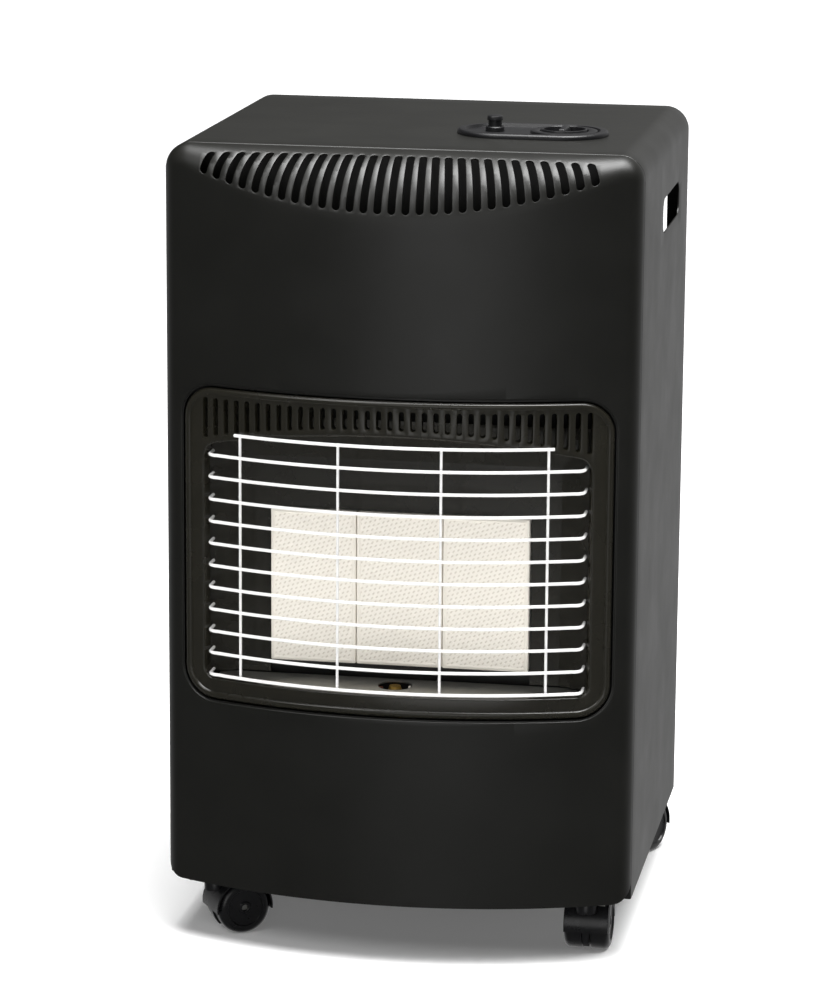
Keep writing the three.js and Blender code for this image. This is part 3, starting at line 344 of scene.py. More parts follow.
def glazedLike(name, info):
    # a light skin over metal or clay: faint cloudy colour and shallow runs in the surface
    material, tree, shader, coords = startMaterial(name, info)
    shader.inputs["Coat Weight"].default_value = info["coat"]
    mottle = addNode(
        tree, "TexNoise",
        inputs={"Scale": 1 / (info["mottleSize"] * mm), "Detail": 3.0, "Roughness": 0.5},
        links={"Vector": coords},
    )
    addNode(
        tree, "Mix",
        settings={"data_type": "RGBA"},
        inputs={6: hexColor(info["color"]), 7: hexColor(info["color2"])},
        links={"Factor": mottle.outputs["Fac"]},
        feeds={2: shader.inputs["Base Color"]},
    )
    addNode(
        tree, "Bump",
        inputs={"Strength": info["runStrength"], "Distance": info["runDepth"] * mm},
        links={"Height": mottle.outputs["Fac"]},
        feeds={"Normal": shader.inputs["Normal"]},
    )
    return material


runInfo = {"runStrength": 0.15, "runDepth": 0.05}
wireInfo = {
    **runInfo, "color": "E9E8E4", "color2": "D6D6D8", "roughness": 0.25, "coat": 0.5,
    "mottleSize": 9,
}
porcelainInfo = {
    **runInfo, "color": "EFEBE0", "color2": "DDD6C8", "roughness": 0.2, "coat": 0.3,
    "mottleSize": 3,
}
siliconeInfo = {
    **runInfo, "color": "C9C2B4", "color2": "B4AC9C", "roughness": 0.5, "coat": 0.0,
    "mottleSize": 5,
}
guardWire = glazedLike("bright dipped wire", wireInfo)
porcelain = glazedLike("glazed porcelain", porcelainInfo)
siliconeSheath = glazedLike("silicone lead", siliconeInfo)

ceramicInfo = {
    # shade is the darker colour: painted shade in the pressed dashes of the field, and a random
    # grit tone on the plain border
    "color": "E9E4DA", "shade": "D3CCC0", "roughness": 0.85, "specular": 0.3,
    "along": 4.0, "across": 2.1, "slant": 45,  # staggered slanting dashes, slant in degrees
    "dashEdge": (0.2, 0.8), "dimple": 0.5, "grit": 0.7, "dashBump": 0.5, "plainBump": 0.15,
}


def ceramicLike(name, info, dashed):
    # pressed cordierite: chalky cream with a fine grit, and dashes pressed into the field, with
    # painted shade darkening the dashes
    material, tree, shader, coords = startMaterial(name, info)
    grit = addNode(
        tree, "TexNoise",
        inputs={"Scale": 1 / (info["grit"] * mm), "Detail": 3.0, "Roughness": 0.6},
        links={"Vector": coords},
    )
    height = grit.outputs["Fac"]
    mark = grit.outputs["Fac"]
    if dashed:
        turned = addNode(
            tree, "VectorRotate",
            settings={"rotation_type": "Y_AXIS"},
            inputs={"Angle": math.radians(info["slant"])},
            links={"Vector": coords},
        )
        pitched = addNode(
            tree, "VectorMath",
            settings={"operation": "MULTIPLY"},
            inputs={1: (math.pi / (info["along"] * mm), 0, math.pi / (info["across"] * mm))},
            links={0: turned.outputs["Vector"]},
        )
        split = addNode(
            tree, "SeparateXYZ", links={"Vector": pitched.outputs["Vector"]}
        )
        waves = [
            addNode(
                tree, "Math",
                settings={"operation": "SINE"},
                links={0: split.outputs[axis]},
            ).outputs[0]
            for axis in ("X", "Z")
        ]
        product = addNode(
            tree, "Math",
            settings={"operation": "MULTIPLY"},
            links={0: waves[0], 1: waves[1]},
        )
        dash = addNode(
            tree, "MapRange",
            settings={"interpolation_type": "SMOOTHSTEP"},
            inputs={"From Min": info["dashEdge"][0], "From Max": info["dashEdge"][1]},
            links={"Value": product.outputs[0]},
        )
        mark = dash.outputs["Result"]
        height = addNode(
            tree, "Math",
            settings={"operation": "MULTIPLY_ADD"},
            inputs={1: -1.0},
            links={0: mark, 2: height},
        ).outputs[0]
    # painted shade: the pressed dashes take the darker colour, as the shade in their hollows;
    # without dashes the grit only varies the tone
    addNode(
        tree, "Mix",
        settings={"data_type": "RGBA"},
        inputs={6: hexColor(info["color"]), 7: hexColor(info["shade"])},
        links={"Factor": mark},
        feeds={2: shader.inputs["Base Color"]},
    )
    addNode(
        tree, "Bump",
        inputs={
            "Strength": info["dashBump"] if dashed else info["plainBump"],
            "Distance": info["dimple"] * mm,
        },
        links={"Height": height},
        feeds={"Normal": shader.inputs["Normal"]},
    )
    return material


plaqueField = ceramicLike("pressed ceramic", ceramicInfo, True)
plaqueBorder = ceramicLike("plain ceramic", {**ceramicInfo, "shade": "E2DCD1"}, False)
print("finishes ready")


def addPiece(name, bm, material, body, nodes, sharp=35):
    # turns the millimetre mesh into a piece in metres that rides its body
    bmesh.ops.scale(bm, vec=(mm, mm, mm), verts=bm.verts)
    mesh = bpy.data.meshes.new(name)
    bmesh.ops.remove_doubles(bm, verts=bm.verts, dist=1e-7)
    bm.to_mesh(mesh)
    bm.free()
    piece = bpy.data.objects.new(name, mesh)
    bpy.context.scene.collection.objects.link(piece)
    mesh.materials.append(material)
    mesh.shade_smooth()
    mesh.set_sharp_from_angle(angle=math.radians(sharp))
    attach(piece, body)
    if nodes:
        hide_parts(*nodes)
    return piece


def pierce(plate, punch):
    # cuts the punch out of the plate and hands back the plate
    bmesh.ops.recalc_face_normals(punch, faces=punch.faces)
    pair = []
    for name, bm in (("plate", plate), ("punch", punch)):
        mesh = bpy.data.meshes.new(name)
        bm.to_mesh(mesh)
        bm.free()
        pair.append(bpy.data.objects.new(name, mesh))
        bpy.context.scene.collection.objects.link(pair[-1])
    cut = pair[0].modifiers.new("pierce", "BOOLEAN")
    cut.operation = "DIFFERENCE"
    cut.solver = "EXACT"
    cut.object = pair[1]
    result = bmesh.new()
    result.from_object(pair[0], bpy.context.evaluated_depsgraph_get())
    for item in pair:
        mesh = item.data
        bpy.data.objects.remove(item)
        bpy.data.meshes.remove(mesh)
    return result


def slabOf(x0, x1, y0, y1, z0, z1):
    bm = bmesh.new()
    bmesh.ops.create_cube(bm, size=1)
    bmesh.ops.scale(bm, vec=(x1 - x0, y1 - y0, z1 - z0), verts=bm.verts)
    centre = ((x0 + x1) / 2, (y0 + y1) / 2, (z0 + z1) / 2)
    bmesh.ops.translate(bm, vec=centre, verts=bm.verts)
    return bm


def pourInto(target, source):
    mesh = bpy.data.meshes.new("part")
    source.to_mesh(mesh)
    source.free()
    target.from_mesh(mesh)
    bpy.data.meshes.remove(mesh)


def raiseFace(bm, faces, vec):
    grown = bmesh.ops.extrude_face_region(bm, geom=faces)
    moved = [g for g in grown["geom"] if isinstance(g, bmesh.types.BMVert)]
    bmesh.ops.translate(bm, vec=vec, verts=moved)


def slotPunch(x, z0, z1, width, y0=-5, y1=20, segments=12):
    # upright slot with round ends, standing across the sheet
    bm = bmesh.new()
    turn = Matrix.Rotation(math.pi / 2, 4, "X") @ Matrix.Rotation(math.pi / segments, 4, "Z")
    bmesh.ops.create_circle(bm, cap_ends=True, segments=segments, radius=width / 2, matrix=turn)
    reach = (z1 - z0 - width) / 2
    for vert in bm.verts:
        vert.co.z += reach if vert.co.z > 0 else -reach
        vert.co.x += x
        vert.co.z += (z0 + z1) / 2
        vert.co.y = y0
    raiseFace(bm, bm.faces[:], (0, y1 - y0, 0))
    return bm


def roundedPunch(x0, x1, z0, z1, radius, y0=-5, y1=20, arch=0.0, segments=8, topCuts=0):
    near = 1e-3  # rounding of the stored coordinates stays below this
    bm = bmesh.new()
    corners = [bm.verts.new(p) for p in ((x0, y0, z0), (x1, y0, z0), (x1, y0, z1), (x0, y0, z1))]
    bm.faces.new(corners)
    if topCuts:
        top = [e for e in bm.edges if all(abs(v.co.z - z1) < near for v in e.verts)]
        bmesh.ops.subdivide_edges(bm, edges=top, cuts=topCuts)
        middle, half = (x0 + x1) / 2, (x1 - x0) / 2
        for vert in bm.verts:
            if abs(vert.co.z - z1) < near:
                vert.co.z += arch * (1 - ((vert.co.x - middle) / half) ** 2)
    corners = [v for v in bm.verts if min(abs(v.co.x - x0), abs(v.co.x - x1)) < near]
    bmesh.ops.bevel(
        bm, geom=corners, offset=radius, offset_type="OFFSET", segments=segments, profile=0.5,
        affect="VERTICES", clamp_overlap=True, material=-1,
    )
    raiseFace(bm, bm.faces[:], (0, y1 - y0, 0))
    return bm


def softenEdges(bm, chosen, offset, segments=2):
    bmesh.ops.bevel(
        bm, geom=chosen, offset=offset, offset_type="OFFSET", segments=segments, profile=0.5,
        affect="EDGES", clamp_overlap=True, material=-1,
    )


def softenFront(bm, test, offset, segments):
    # rounds the edges between the sheet's face and a wall whose middles pass the test
    near, steep = 1e-4, 0.8  # millimetres and radians
    found = []
    for edge in bm.edges:
        if any(abs(v.co.y) > near for v in edge.verts) or len(edge.link_faces) != 2:
            continue
        middle = (edge.verts[0].co + edge.verts[1].co) / 2
        if edge.calc_face_angle(0) > steep and test(middle):
            found.append(edge)
    softenEdges(bm, found, offset, segments)


def score(bm, axis, places):
    # cuts the sheet along level lines, so that it can bend there
    normal = Vector([1 if i == axis else 0 for i in range(3)])
    for place in places:
        geom = bm.verts[:] + bm.edges[:] + bm.faces[:]
        bmesh.ops.bisect_plane(bm, geom=geom, dist=1e-5, plane_co=normal * place, plane_no=normal)


def steps(start, stop, pitch):
    count = max(1, round((stop - start) / pitch))
    return [start + (stop - start) * i / count for i in range(count + 1)]


def bendWith(bm, surface):
    # moves each point of the flat sheet to surface(x, z), set in along the surface's normal by y
    small = 0.05
    bmesh.ops.triangulate(bm, faces=[f for f in bm.faces if len(f.verts) > 4])
    for vert in bm.verts:
        x, inset, z = vert.co
        here = Vector(surface(x, z))
        across = Vector(surface(x + small, z)) - Vector(surface(x - small, z))
        upward = Vector(surface(x, z + small)) - Vector(surface(x, z - small))
        inward = upward.cross(across)
        if inward.length < 1e-12:
            inward = Vector((0, 1, 0))
        vert.co = here + inward.normalized() * inset


def buildWire(bm, points, radius, sides=10, cyclic=False):
    curve = bpy.data.curves.new("wirePath", "CURVE")
    curve.dimensions = "3D"
    spline = curve.splines.new("POLY")
    spline.points.add(len(points) - 1)
    for point, place in zip(spline.points, points):
        point.co = (*place, 1)
    spline.use_cyclic_u = cyclic
    curve.bevel_depth = radius
    curve.bevel_resolution = sides // 4
    curve.use_fill_caps = True
    holder = bpy.data.objects.new("wirePath", curve)
    bpy.context.scene.collection.objects.link(holder)
    drawn = holder.evaluated_get(bpy.context.evaluated_depsgraph_get())
    mesh = bpy.data.meshes.new_from_object(drawn)
    bm.from_mesh(mesh)
    bpy.data.objects.remove(holder)
    bpy.data.curves.remove(curve)
    bpy.data.meshes.remove(mesh)


def turnedBody(profile, centre, facets=48):
    # spins an outline of (radius, height) round an upright line through centre
    bm = bmesh.new()
    verts = [bm.verts.new((r, 0, z)) for r, z in profile]
    edges = [bm.edges.new(pair) for pair in zip(verts, verts[1:])]
    bmesh.ops.spin(
        bm, geom=verts + edges, cent=(0, 0, 0), axis=(0, 0, 1), angle=math.tau, steps=facets,
        use_merge=True,
    )
    bmesh.ops.remove_doubles(bm, verts=bm.verts, dist=1e-5)
    bmesh.ops.recalc_face_normals(bm, faces=bm.faces)
    bmesh.ops.translate(bm, vec=centre, verts=bm.verts)
    return bm


bow = {
    "depth": 60.0, "radius": 480.0, "edgeRoll": 10.0, "cornerTop": 22.0, "cornerFoot": 15.0,
    "gap": 0.3, "dip": 1.6, "dipRun": 5.0,  # the sheet turns down a little at the seam
}


def bulge(x):
    return bow["depth"] - bow["radius"] + math.sqrt(bow["radius"] ** 2 - x * x)


def topAt(x):
    over = min(max(abs(x) - (halfWidth - bow["cornerTop"]), 0), bow["cornerTop"])
    return topZ - bow["cornerTop"] + math.sqrt(max(bow["cornerTop"] ** 2 - over * over, 0))


def footAt(x):
    over = min(max(abs(x) - (halfWidth - bow["cornerFoot"]), 0), bow["cornerFoot"])
    return bottomZ + bow["cornerFoot"] - math.sqrt(max(bow["cornerFoot"] ** 2 - over * over, 0))


def acrossPanel(u):
    # distance along the sheet from its middle -> place across and how far the edge has dropped
    flat = halfWidth - bow["edgeRoll"]
    side = 1 if u >= 0 else -1
    over = min(max(abs(u) - flat, 0) / bow["edgeRoll"], math.pi / 2)
    if over == 0:
        return u, 0.0
    x = side * (flat + bow["edgeRoll"] * math.sin(over))
    return x, bow["edgeRoll"] * (1 - math.cos(over))


panelInfo = {
    "sheet": 1.2,
    "slots": 29, "slotPitch": 12.25, "slotWidth": 6.6, "slotInset": 20.5, "slotEase": 0.13,
    "slotRise": 0.18, "slotFan": 300.0, "slotSoft": 0.55,
    "openingWidth": 386.0, "openingHeight": 287.0, "openingFoot": 171.0, "openingCorner": 31.0,
    "openingSoft": 1.1, "collar": 11.0, "collarTuck": 0.8, "collarCell": 8.0,
    # which edges belong to the opening and to the slots, along the flat sheet
    "openingFrom": 40.0, "openingTo": 650.0, "slottedHalf": 185.0,
    # spacing of the bend lines
    "cell": 5.0, "edgeCell": 2.5, "rollCell": 4.0, "seamCell": 1.0, "faceCell": 12.0,
}
rollRun = bow["depth"] * math.pi / 2  # length of sheet in the top roll, at the middle
faceRun = topZ - bow["depth"] - bottomZ  # height of the upright face, at the middle


def panelSurface(u, v):
    # v runs down the sheet from the seam, as a negative height
    x, drop = acrossPanel(u)
    deep = max(bulge(x) - drop, 0.2)
    down = -v
    high, low = topAt(x), footAt(x)
    if down < rollRun:
        angle = down / rollRun * math.pi / 2
        y = frontY - bow["gap"] - deep * math.sin(angle)
        dip = bow["dip"] * max(0, 1 - down / bow["dipRun"]) ** 2
        return x, y, high - deep + deep * math.cos(angle) - dip
    share = (down - rollRun) / faceRun
    return x, frontY - bow["gap"] - deep, high - deep - share * (high - deep - low)


def flatHeight(x, z):
    # where a height on the upright face lies on the flat sheet
    deep = bulge(x)
    return -(rollRun + (topAt(x) - deep - z) / (topAt(x) - deep - footAt(x)) * faceRun)


def makeFrontPanel(info):
    reach = halfWidth - bow["edgeRoll"] + bow["edgeRoll"] * math.pi / 2
    plate = slabOf(-reach, reach, 0, info["sheet"], -(rollRun + faceRun), 0)
    punch = bmesh.new()
    for i in range(info["slots"]):
        face = (i - (info["slots"] - 1) / 2) * info["slotPitch"]
        deep = bulge(face)
        inset = info["slotInset"] - info["slotEase"] * (bow["depth"] - deep)
        high = math.asin(inset / deep) / (math.pi / 2) * rollRun
        low = math.acos(info["slotRise"]) / (math.pi / 2) * rollRun
        slot = slotPunch(0, -low, -high, info["slotWidth"], segments=16)
        # round ends keep their shape although the sheet is drawn longer than it will be
        stretch = bow["depth"] / deep
        for vert in slot.verts:
            end = -high if vert.co.z > -(high + low) / 2 else -low
            vert.co.z = end + (vert.co.z - end) * stretch
        score(slot, 2, steps(-low, -high, 6)[2:-2])
        for vert in slot.verts:
            reached = deep * math.sin(-vert.co.z / rollRun * math.pi / 2)
            vert.co.x += face * (1 - (deep - reached) / info["slotFan"])
        pourInto(punch, slot)
    half = info["openingWidth"] / 2
    low = bottomZ + info["openingFoot"]
    opening = roundedPunch(
        -half, half, low, low + info["openingHeight"], info["openingCorner"], segments=10
    )
    score(opening, 0, steps(-half, half, 10)[1:-1])
    for vert in opening.verts:
        vert.co.z = flatHeight(vert.co.x, vert.co.z)
    pourInto(punch, opening)
    plate = pierce(plate, punch)
    across = info["slottedHalf"]
    bottom, top = -info["openingTo"], -rollRun - info["openingFrom"]
    inOpening = lambda p: abs(p.x) < half + 2 and bottom < p.z < top
    inSlots = lambda p: abs(p.x) < across and -rollRun - 2 < p.z < -2
    softenFront(plate, inOpening, info["openingSoft"], 3)
    softenFront(plate, inSlots, info["slotSoft"], 2)
    for start, stop in ((-reach, -across), (across, reach)):
        score(plate, 0, steps(start, stop, info["edgeCell"])[1:-1])
    score(plate, 0, steps(-across, across, info["cell"]))
    score(plate, 2, steps(-rollRun, -bow["dipRun"], info["rollCell"]))
    score(plate, 2, steps(-bow["dipRun"], 0, info["seamCell"])[1:-1])
    score(plate, 2, steps(-(rollRun + faceRun), -rollRun, info["faceCell"])[1:-1])
    bendWith(plate, panelSurface)
    return plate


def makeCollar(info):
    # wall that turns back round the opening
    half = info["openingWidth"] / 2
    low = bottomZ + info["openingFoot"]
    bm = roundedPunch(
        -half, half, low, low + info["openingHeight"], info["openingCorner"], 0, 1, segments=10
    )
    caps = [f for f in bm.faces if abs(f.normal.y) > 0.9]
    bmesh.ops.delete(bm, geom=caps, context="FACES_ONLY")
    score(bm, 0, steps(-half, half, info["collarCell"])[1:-1])
    bmesh.ops.recalc_face_normals(bm, faces=bm.faces)
    for vert in bm.verts:
        tuck = info["openingSoft"] * info["collarTuck"]
        start = frontY - bow["gap"] - bulge(vert.co.x) + tuck
        vert.co.y = start if vert.co.y < 0.5 else start + info["collar"]
    bmesh.ops.solidify(bm, geom=bm.faces[:], thickness=info["sheet"])
    return bm


panel = makeFrontPanel(panelInfo)
pourInto(panel, makeCollar(panelInfo))
addPiece("frontPanel", panel, powderCoat, "cabinet", ["front_panel"])
print("front panel ready")


wrapInfo = {
    "sheet": 1.2, "fold": 22.0, "edge": 1.6, "frontReturn": 10.0, "rearReturn": 19.0,
    "handleLength": 130.0, "handleHeight": 31.0, "handleBack": 211.0, "handleUp": 591.0,
    "handleCorner": 12.0, "bezelAt": (95.0, 120.0), "bezelHole": (119.0, 68.0), "soft": 0.5,
    "nearHandle": (30.0, 80.0),  # how far its edges lie from its middle, up and back
    "cell": 40.0, "foldCell": 2.2, "backCell": 25.0,
}
sideRun = topZ - bottomZ - wrapInfo["fold"]
foldRun = wrapInfo["fold"] * math.pi / 2
topRun = 2 * (halfWidth - wrapInfo["fold"])
depthRun = rearY - frontY


def wrapSection(s):
    # distance along the section, from the middle of the top -> x, z and the outward direction
    side = 1 if s >= 0 else -1
    run = abs(s)
    fold = wrapInfo["fold"]
    if run <= topRun / 2:
        return s, topZ, 0.0, 1.0
    if run <= topRun / 2 + foldRun:
        angle = (run - topRun / 2) / fold
        x = halfWidth - fold + fold * math.sin(angle)
        z = topZ - fold + fold * math.cos(angle)
        return side * x, z, side * math.sin(angle), math.cos(angle)
    return side * halfWidth, topZ - fold - (run - topRun / 2 - foldRun), float(side), 0.0


def wrapSurface(s, q):
    # q runs from the middle of the sheet to its front (negative) and rear edges
    x, z, ox, oz = wrapSection(s)
    edge = wrapInfo["edge"]
    half = depthRun / 2
    side = 1 if q >= 0 else -1
    over = abs(q) - (half - edge)
    middle = (frontY + rearY) / 2
    if over <= 0:
        return x, middle + q, z
    bendRun = edge * math.pi / 2
    if over < bendRun:
        angle = over / edge
        inset = edge * (1 - math.cos(angle))
        y = middle + side * (half - edge + edge * math.sin(angle))
        return x - ox * inset, y, z - oz * inset
    inset = edge + over - bendRun
    return x - ox * inset, middle + side * half, z - oz * inset


def makeWrap(info):
    half = depthRun / 2
    bendRun = info["edge"] * math.pi / 2
    front = half - info["edge"] + bendRun + info["frontReturn"] - info["edge"]
    rear = half - info["edge"] + bendRun + info["rearReturn"] - info["edge"]
    reach = topRun / 2 + foldRun + sideRun
    plate = slabOf(-reach, reach, 0, info["sheet"], -front, rear)
    punch = bmesh.new()
    middle = half - info["handleBack"]
    run = topRun / 2 + foldRun + (topZ - info["fold"] - bottomZ - info["handleUp"])
    for side in (-1, 1):
        x0, x1 = [side * run + end * info["handleHeight"] / 2 for end in (-1, 1)]
        z0 = -middle - info["handleLength"] / 2
        hole = roundedPunch(x0, x1, z0, z0 + info["handleLength"], info["handleCorner"])
        pourInto(punch, hole)
    bx, by = info["bezelAt"]
    length, across = info["bezelHole"]
    z0 = by - half - across / 2
    hole = roundedPunch(
        bx - length / 2, bx + length / 2, z0, z0 + across, across / 2 - 0.1, segments=12
    )
    pourInto(punch, hole)
    plate = pierce(plate, punch)
    up, back = info["nearHandle"]
    holes = lambda p: abs(abs(p.x) - run) < up and abs(p.z + middle) < back
    softenFront(plate, holes, info["soft"], 2)
    side = topRun / 2 + foldRun
    cell, foldCell, flat = info["cell"], info["foldCell"], topRun / 2
    for start, stop, pitch in (
        (-reach, -side, cell), (-side, -flat, foldCell), (-flat, flat, cell),
    ):
        score(plate, 0, steps(start, stop, pitch)[1:])
    for start, stop, pitch in ((flat, side, foldCell), (side, reach, cell)):
        score(plate, 0, steps(start, stop, pitch)[:-1])
    straight = half - info["edge"]
    score(plate, 2, steps(-straight, straight, info["backCell"]))
    for sign in (-1, 1):
        score(plate, 2, [sign * (straight + bendRun * k / 4) for k in (1, 2, 3, 4)])
    bendWith(plate, wrapSurface)
    return plate


wrap = makeWrap(wrapInfo)
addPiece("cabinetWrap", wrap, powderCoat, "cabinet", ["cabinet_wrap"])
print("wrap ready")


surroundInfo = {
    "width": 380.0, "height": 281.0, "foot": 174.0, "corner": 28.0, "set": 1.0, "thick": 10.0,
    "rim": 5.5, "bead": 3.2, "beadSunk": 1.4,
    "windowWidth": 344.0, "windowFoot": 192.0, "windowShoulder": 403.0,
    "windowArch": 20.0, "windowCorner": 10.0, "windowSoft": 2.4,
    "vents": 35, "ventPitch": 10.0, "ventWidth": 4.6, "ventTop": 446.0, "ventClear": 6.0,
    "ventSoft": 0.6, "cell": 6.0,
    "nearRim": 9.0, "nearSide": 2.0, "nearWindow": 1.5,  # which edges belong to which
}


def surroundSurface(x, z):
    radius = bow["radius"] - surroundInfo["set"]
    y = frontY - bow["depth"] + bow["radius"] - math.sqrt(radius ** 2 - x * x)
    return x, y, z


def windowTop(x):
    half = surroundInfo["windowWidth"] / 2
    rise = surroundInfo["windowArch"] * (1 - (x / half) ** 2)
    return bottomZ + surroundInfo["windowShoulder"] + rise


def makeSurround(info):
    half = info["width"] / 2
    low = bottomZ + info["foot"]
    plate = roundedPunch(
        -half, half, low, low + info["height"], info["corner"], 0, info["thick"], segments=12
    )
    bmesh.ops.recalc_face_normals(plate, faces=plate.faces)
    windowHalf = info["windowWidth"] / 2
    punch = roundedPunch(
        -windowHalf, windowHalf, bottomZ + info["windowFoot"], bottomZ + info["windowShoulder"],
        info["windowCorner"], arch=info["windowArch"], topCuts=24, segments=6,
    )
    for i in range(info["vents"]):
        x = (i - (info["vents"] - 1) / 2) * info["ventPitch"]
        foot = windowTop(min(abs(x), windowHalf - 1)) + info["ventClear"]
        pourInto(punch, slotPunch(x, foot, bottomZ + info["ventTop"], info["ventWidth"]))
    plate = pierce(plate, punch)
    shoulder, rim = bottomZ + info["windowShoulder"], info["nearRim"]
    outside = lambda p: (
        abs(p.x) > half - rim and (p.z < shoulder or abs(p.x) > half - info["nearSide"])
    ) or p.z > low + info["height"] - rim or p.z < low + rim
    window = lambda p: not outside(p) and (
        p.z < windowTop(min(abs(p.x), windowHalf)) + info["nearWindow"]
    )
    vents = lambda p: not outside(p) and not window(p)
    softenFront(plate, vents, info["ventSoft"], 2)
    softenFront(plate, window, info["windowSoft"], 4)
    softenFront(plate, outside, info["rim"], 5)
    # rolled bead that runs round the rim and stands a little proud
    bead, radius = info["bead"], info["corner"] - info["bead"]
    across, high = half - info["corner"], low + info["height"] - info["corner"]
    corners = ((across, high), (-across, high), (-across, low + info["corner"]),
               (across, low + info["corner"]))
    path = []
    for quarter, (x, z) in enumerate(corners):
        for degrees in steps(quarter * 90, quarter * 90 + 90, 9):
            angle = math.radians(degrees)
            place = (x + radius * math.cos(angle), info["beadSunk"], z + radius * math.sin(angle))
            path.append(place)
    buildWire(plate, path, bead, 16, cyclic=True)
    score(plate, 0, steps(-half, half, info["cell"])[1:-1])
    bendWith(plate, surroundSurface)
    return plate


surround = makeSurround(surroundInfo)
addPiece(
    "burnerSurround", surround, surroundEnamel, "cabinet", ["burner_surround"], 40
)
print("surround ready")


guardInfo = {
    "rows": 11, "pitch": 19.9, "foot": 196.5, "wire": 1.45, "upright": 1.25, "proud": 6.0,
    "uprights": (-136.0, -45.33, 45.33, 136.0), "overhang": 5.0, "radius": 440.0, "hook": 8.0,
    "tail": 12.0, "end": 166.0, "cell": 8.0, "hookCuts": 6,
    "weld": 0.7,  # how far the crossing wires sink into each other
}


def guardY(x, info):
    centre = frontY - bow["depth"] - info["proud"] + info["wire"]
    return centre + info["radius"] - math.sqrt(info["radius"] ** 2 - x * x)


def makeGuard(info):
    bm = bmesh.new()
    run = info["end"] - info["hook"]
    cuts = info["hookCuts"]
    for row in range(info["rows"]):
        z = bottomZ + info["foot"] + row * info["pitch"]
        points = [(x, guardY(x, info), z) for x in steps(-run, run, info["cell"])]
        for side in (-1, 1):
            bend = []
            for k in range(1, cuts + 1):
                angle = k / cuts * math.pi / 2
                x = side * (run + info["hook"] * math.sin(angle))
                bend.append((x, guardY(run, info) + info["hook"] * (1 - math.cos(angle)), z))
            tip = guardY(run, info) + info["hook"] + info["tail"]
            bend.append((side * info["end"], tip, z))
            points = points + bend if side > 0 else bend[::-1] + points
        buildWire(bm, points, info["wire"], 12)
    top = bottomZ + info["foot"] + info["rows"] * info["pitch"]
    reach = info["uprights"][-1] + info["overhang"]
    points = [(x, guardY(x, info), top) for x in steps(-reach, reach, info["cell"])]
    buildWire(bm, points, info["wire"], 12)
    behind = info["wire"] + info["upright"] - info["weld"]
    for x in info["uprights"]:
        y = guardY(x, info) + behind
        ends = [(x, y, bottomZ + info["foot"] - 1), (x, y, top + 1)]
        buildWire(bm, ends, info["upright"], 12)
    return bm


guard = makeGuard(guardInfo)
addPiece("wireGuard", guard, guardWire, "cabinet", ["wire_guard"])
print("guard ready")


plaqueInfo = {"soft": 1.2, "margin": 3.2, "wall": 0.5, "recess": 0.4, "fieldArea": 2000.0}


def makePlaques(info):
    for place in ("left", "centre", "right"):
        low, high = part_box(f"plaque_{place}")
        edges = [v / mm for v in (low[0], high[0], low[1], high[1], low[2], high[2])]
        bm = slabOf(*edges)
        softenEdges(bm, bm.edges[:], info["soft"], 2)
        # plain border round the perforated field
        front = [f for f in bm.faces if f.normal.y < -0.9]
        bmesh.ops.inset_region(bm, faces=front, thickness=info["margin"], depth=0)
        front = [f for f in bm.faces if f.normal.y < -0.9 and f.calc_area() > info["fieldArea"]]
        bmesh.ops.inset_region(bm, faces=front, thickness=info["wall"], depth=-info["recess"])
        for face in front:
            face.material_index = 1
        plaque = addPiece(
            f"plaque_{place}_face", bm, plaqueBorder, "cabinet", [f"plaque_{place}"],
            30,
        )
        plaque.data.materials.append(plaqueField)


makePlaques(plaqueInfo)
print("plaques ready")


shelfInfo = {
    "drop": 13.0, "plaqueFoot": 206.0, "half": 161.0, "sheet": 1.2, "lip": 6.0,
    "front": 12.2, "hole": 15.0, "holeBack": -26.0, "cell": 8.0,
}


def makeShelf(info):
    z = bottomZ + info["plaqueFoot"] - info["drop"]
    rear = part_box("reflector_shelf")[1][1] / mm - frontY
    half, edge = info["half"], info["front"]
    lines = steps(-half, half, info["cell"])[1:-1]
    plate = slabOf(-half, half, 0, 1, z - info["sheet"], z)
    score(plate, 0, lines)
    for vert in plate.verts:
        x = vert.co.x
        vert.co.y = frontY - bulge(x) + edge if vert.co.y < 0.5 else frontY + rear
    lip = slabOf(-half, half, 0, info["sheet"], z - info["lip"], z - 0.2)
    score(lip, 0, lines)
    for vert in lip.verts:
        vert.co.y += frontY - bulge(vert.co.x) + edge
    punch = bmesh.new()
    bmesh.ops.create_cone(
        punch, cap_ends=True, segments=40, radius1=info["hole"], radius2=info["hole"], depth=10,
        matrix=Matrix.Translation((0, frontY + info["holeBack"], z)),
    )
    plate = pierce(plate, punch)
    pourInto(plate, lip)
    return plate


shelf = makeShelf(shelfInfo)
addPiece("reflectorShelf", shelf, galvanisedSteel, "cabinet", ["reflector_shelf"])
print("shelf ready")


controlInfo = {
    "bezelAt": wrapInfo["bezelAt"], "length": 135.0, "across": 84.0, "rise": 4.0, "rim": 7.0,
    "rimSoft": 2.6, "wellSlope": 1.4, "wellFloor": 1.4, "wellArea": 1000.0,
    "foot": 0.3, "ring": 30.0, "ringWall": 8.4, "ringFoot": 1.2,
    "knobAt": 123.0, "knobRadius": 20.5, "knobGap": 1.0, "knobHeight": 11.5, "knobBase": -6.0,
    "knobDish": 7.0, "grip": 8.0, "gripProud": 1.5, "gripTaper": (0.72, 0.97), "gripSoft": 1.1,
    "igniterAt": 61.0, "igniterRadius": 6.0, "barrel": 8.4, "barrelGap": 0.3, "barrelTop": 6.0,
    "buttonTop": 16.0,
}
bezelY = frontY + controlInfo["bezelAt"][1]


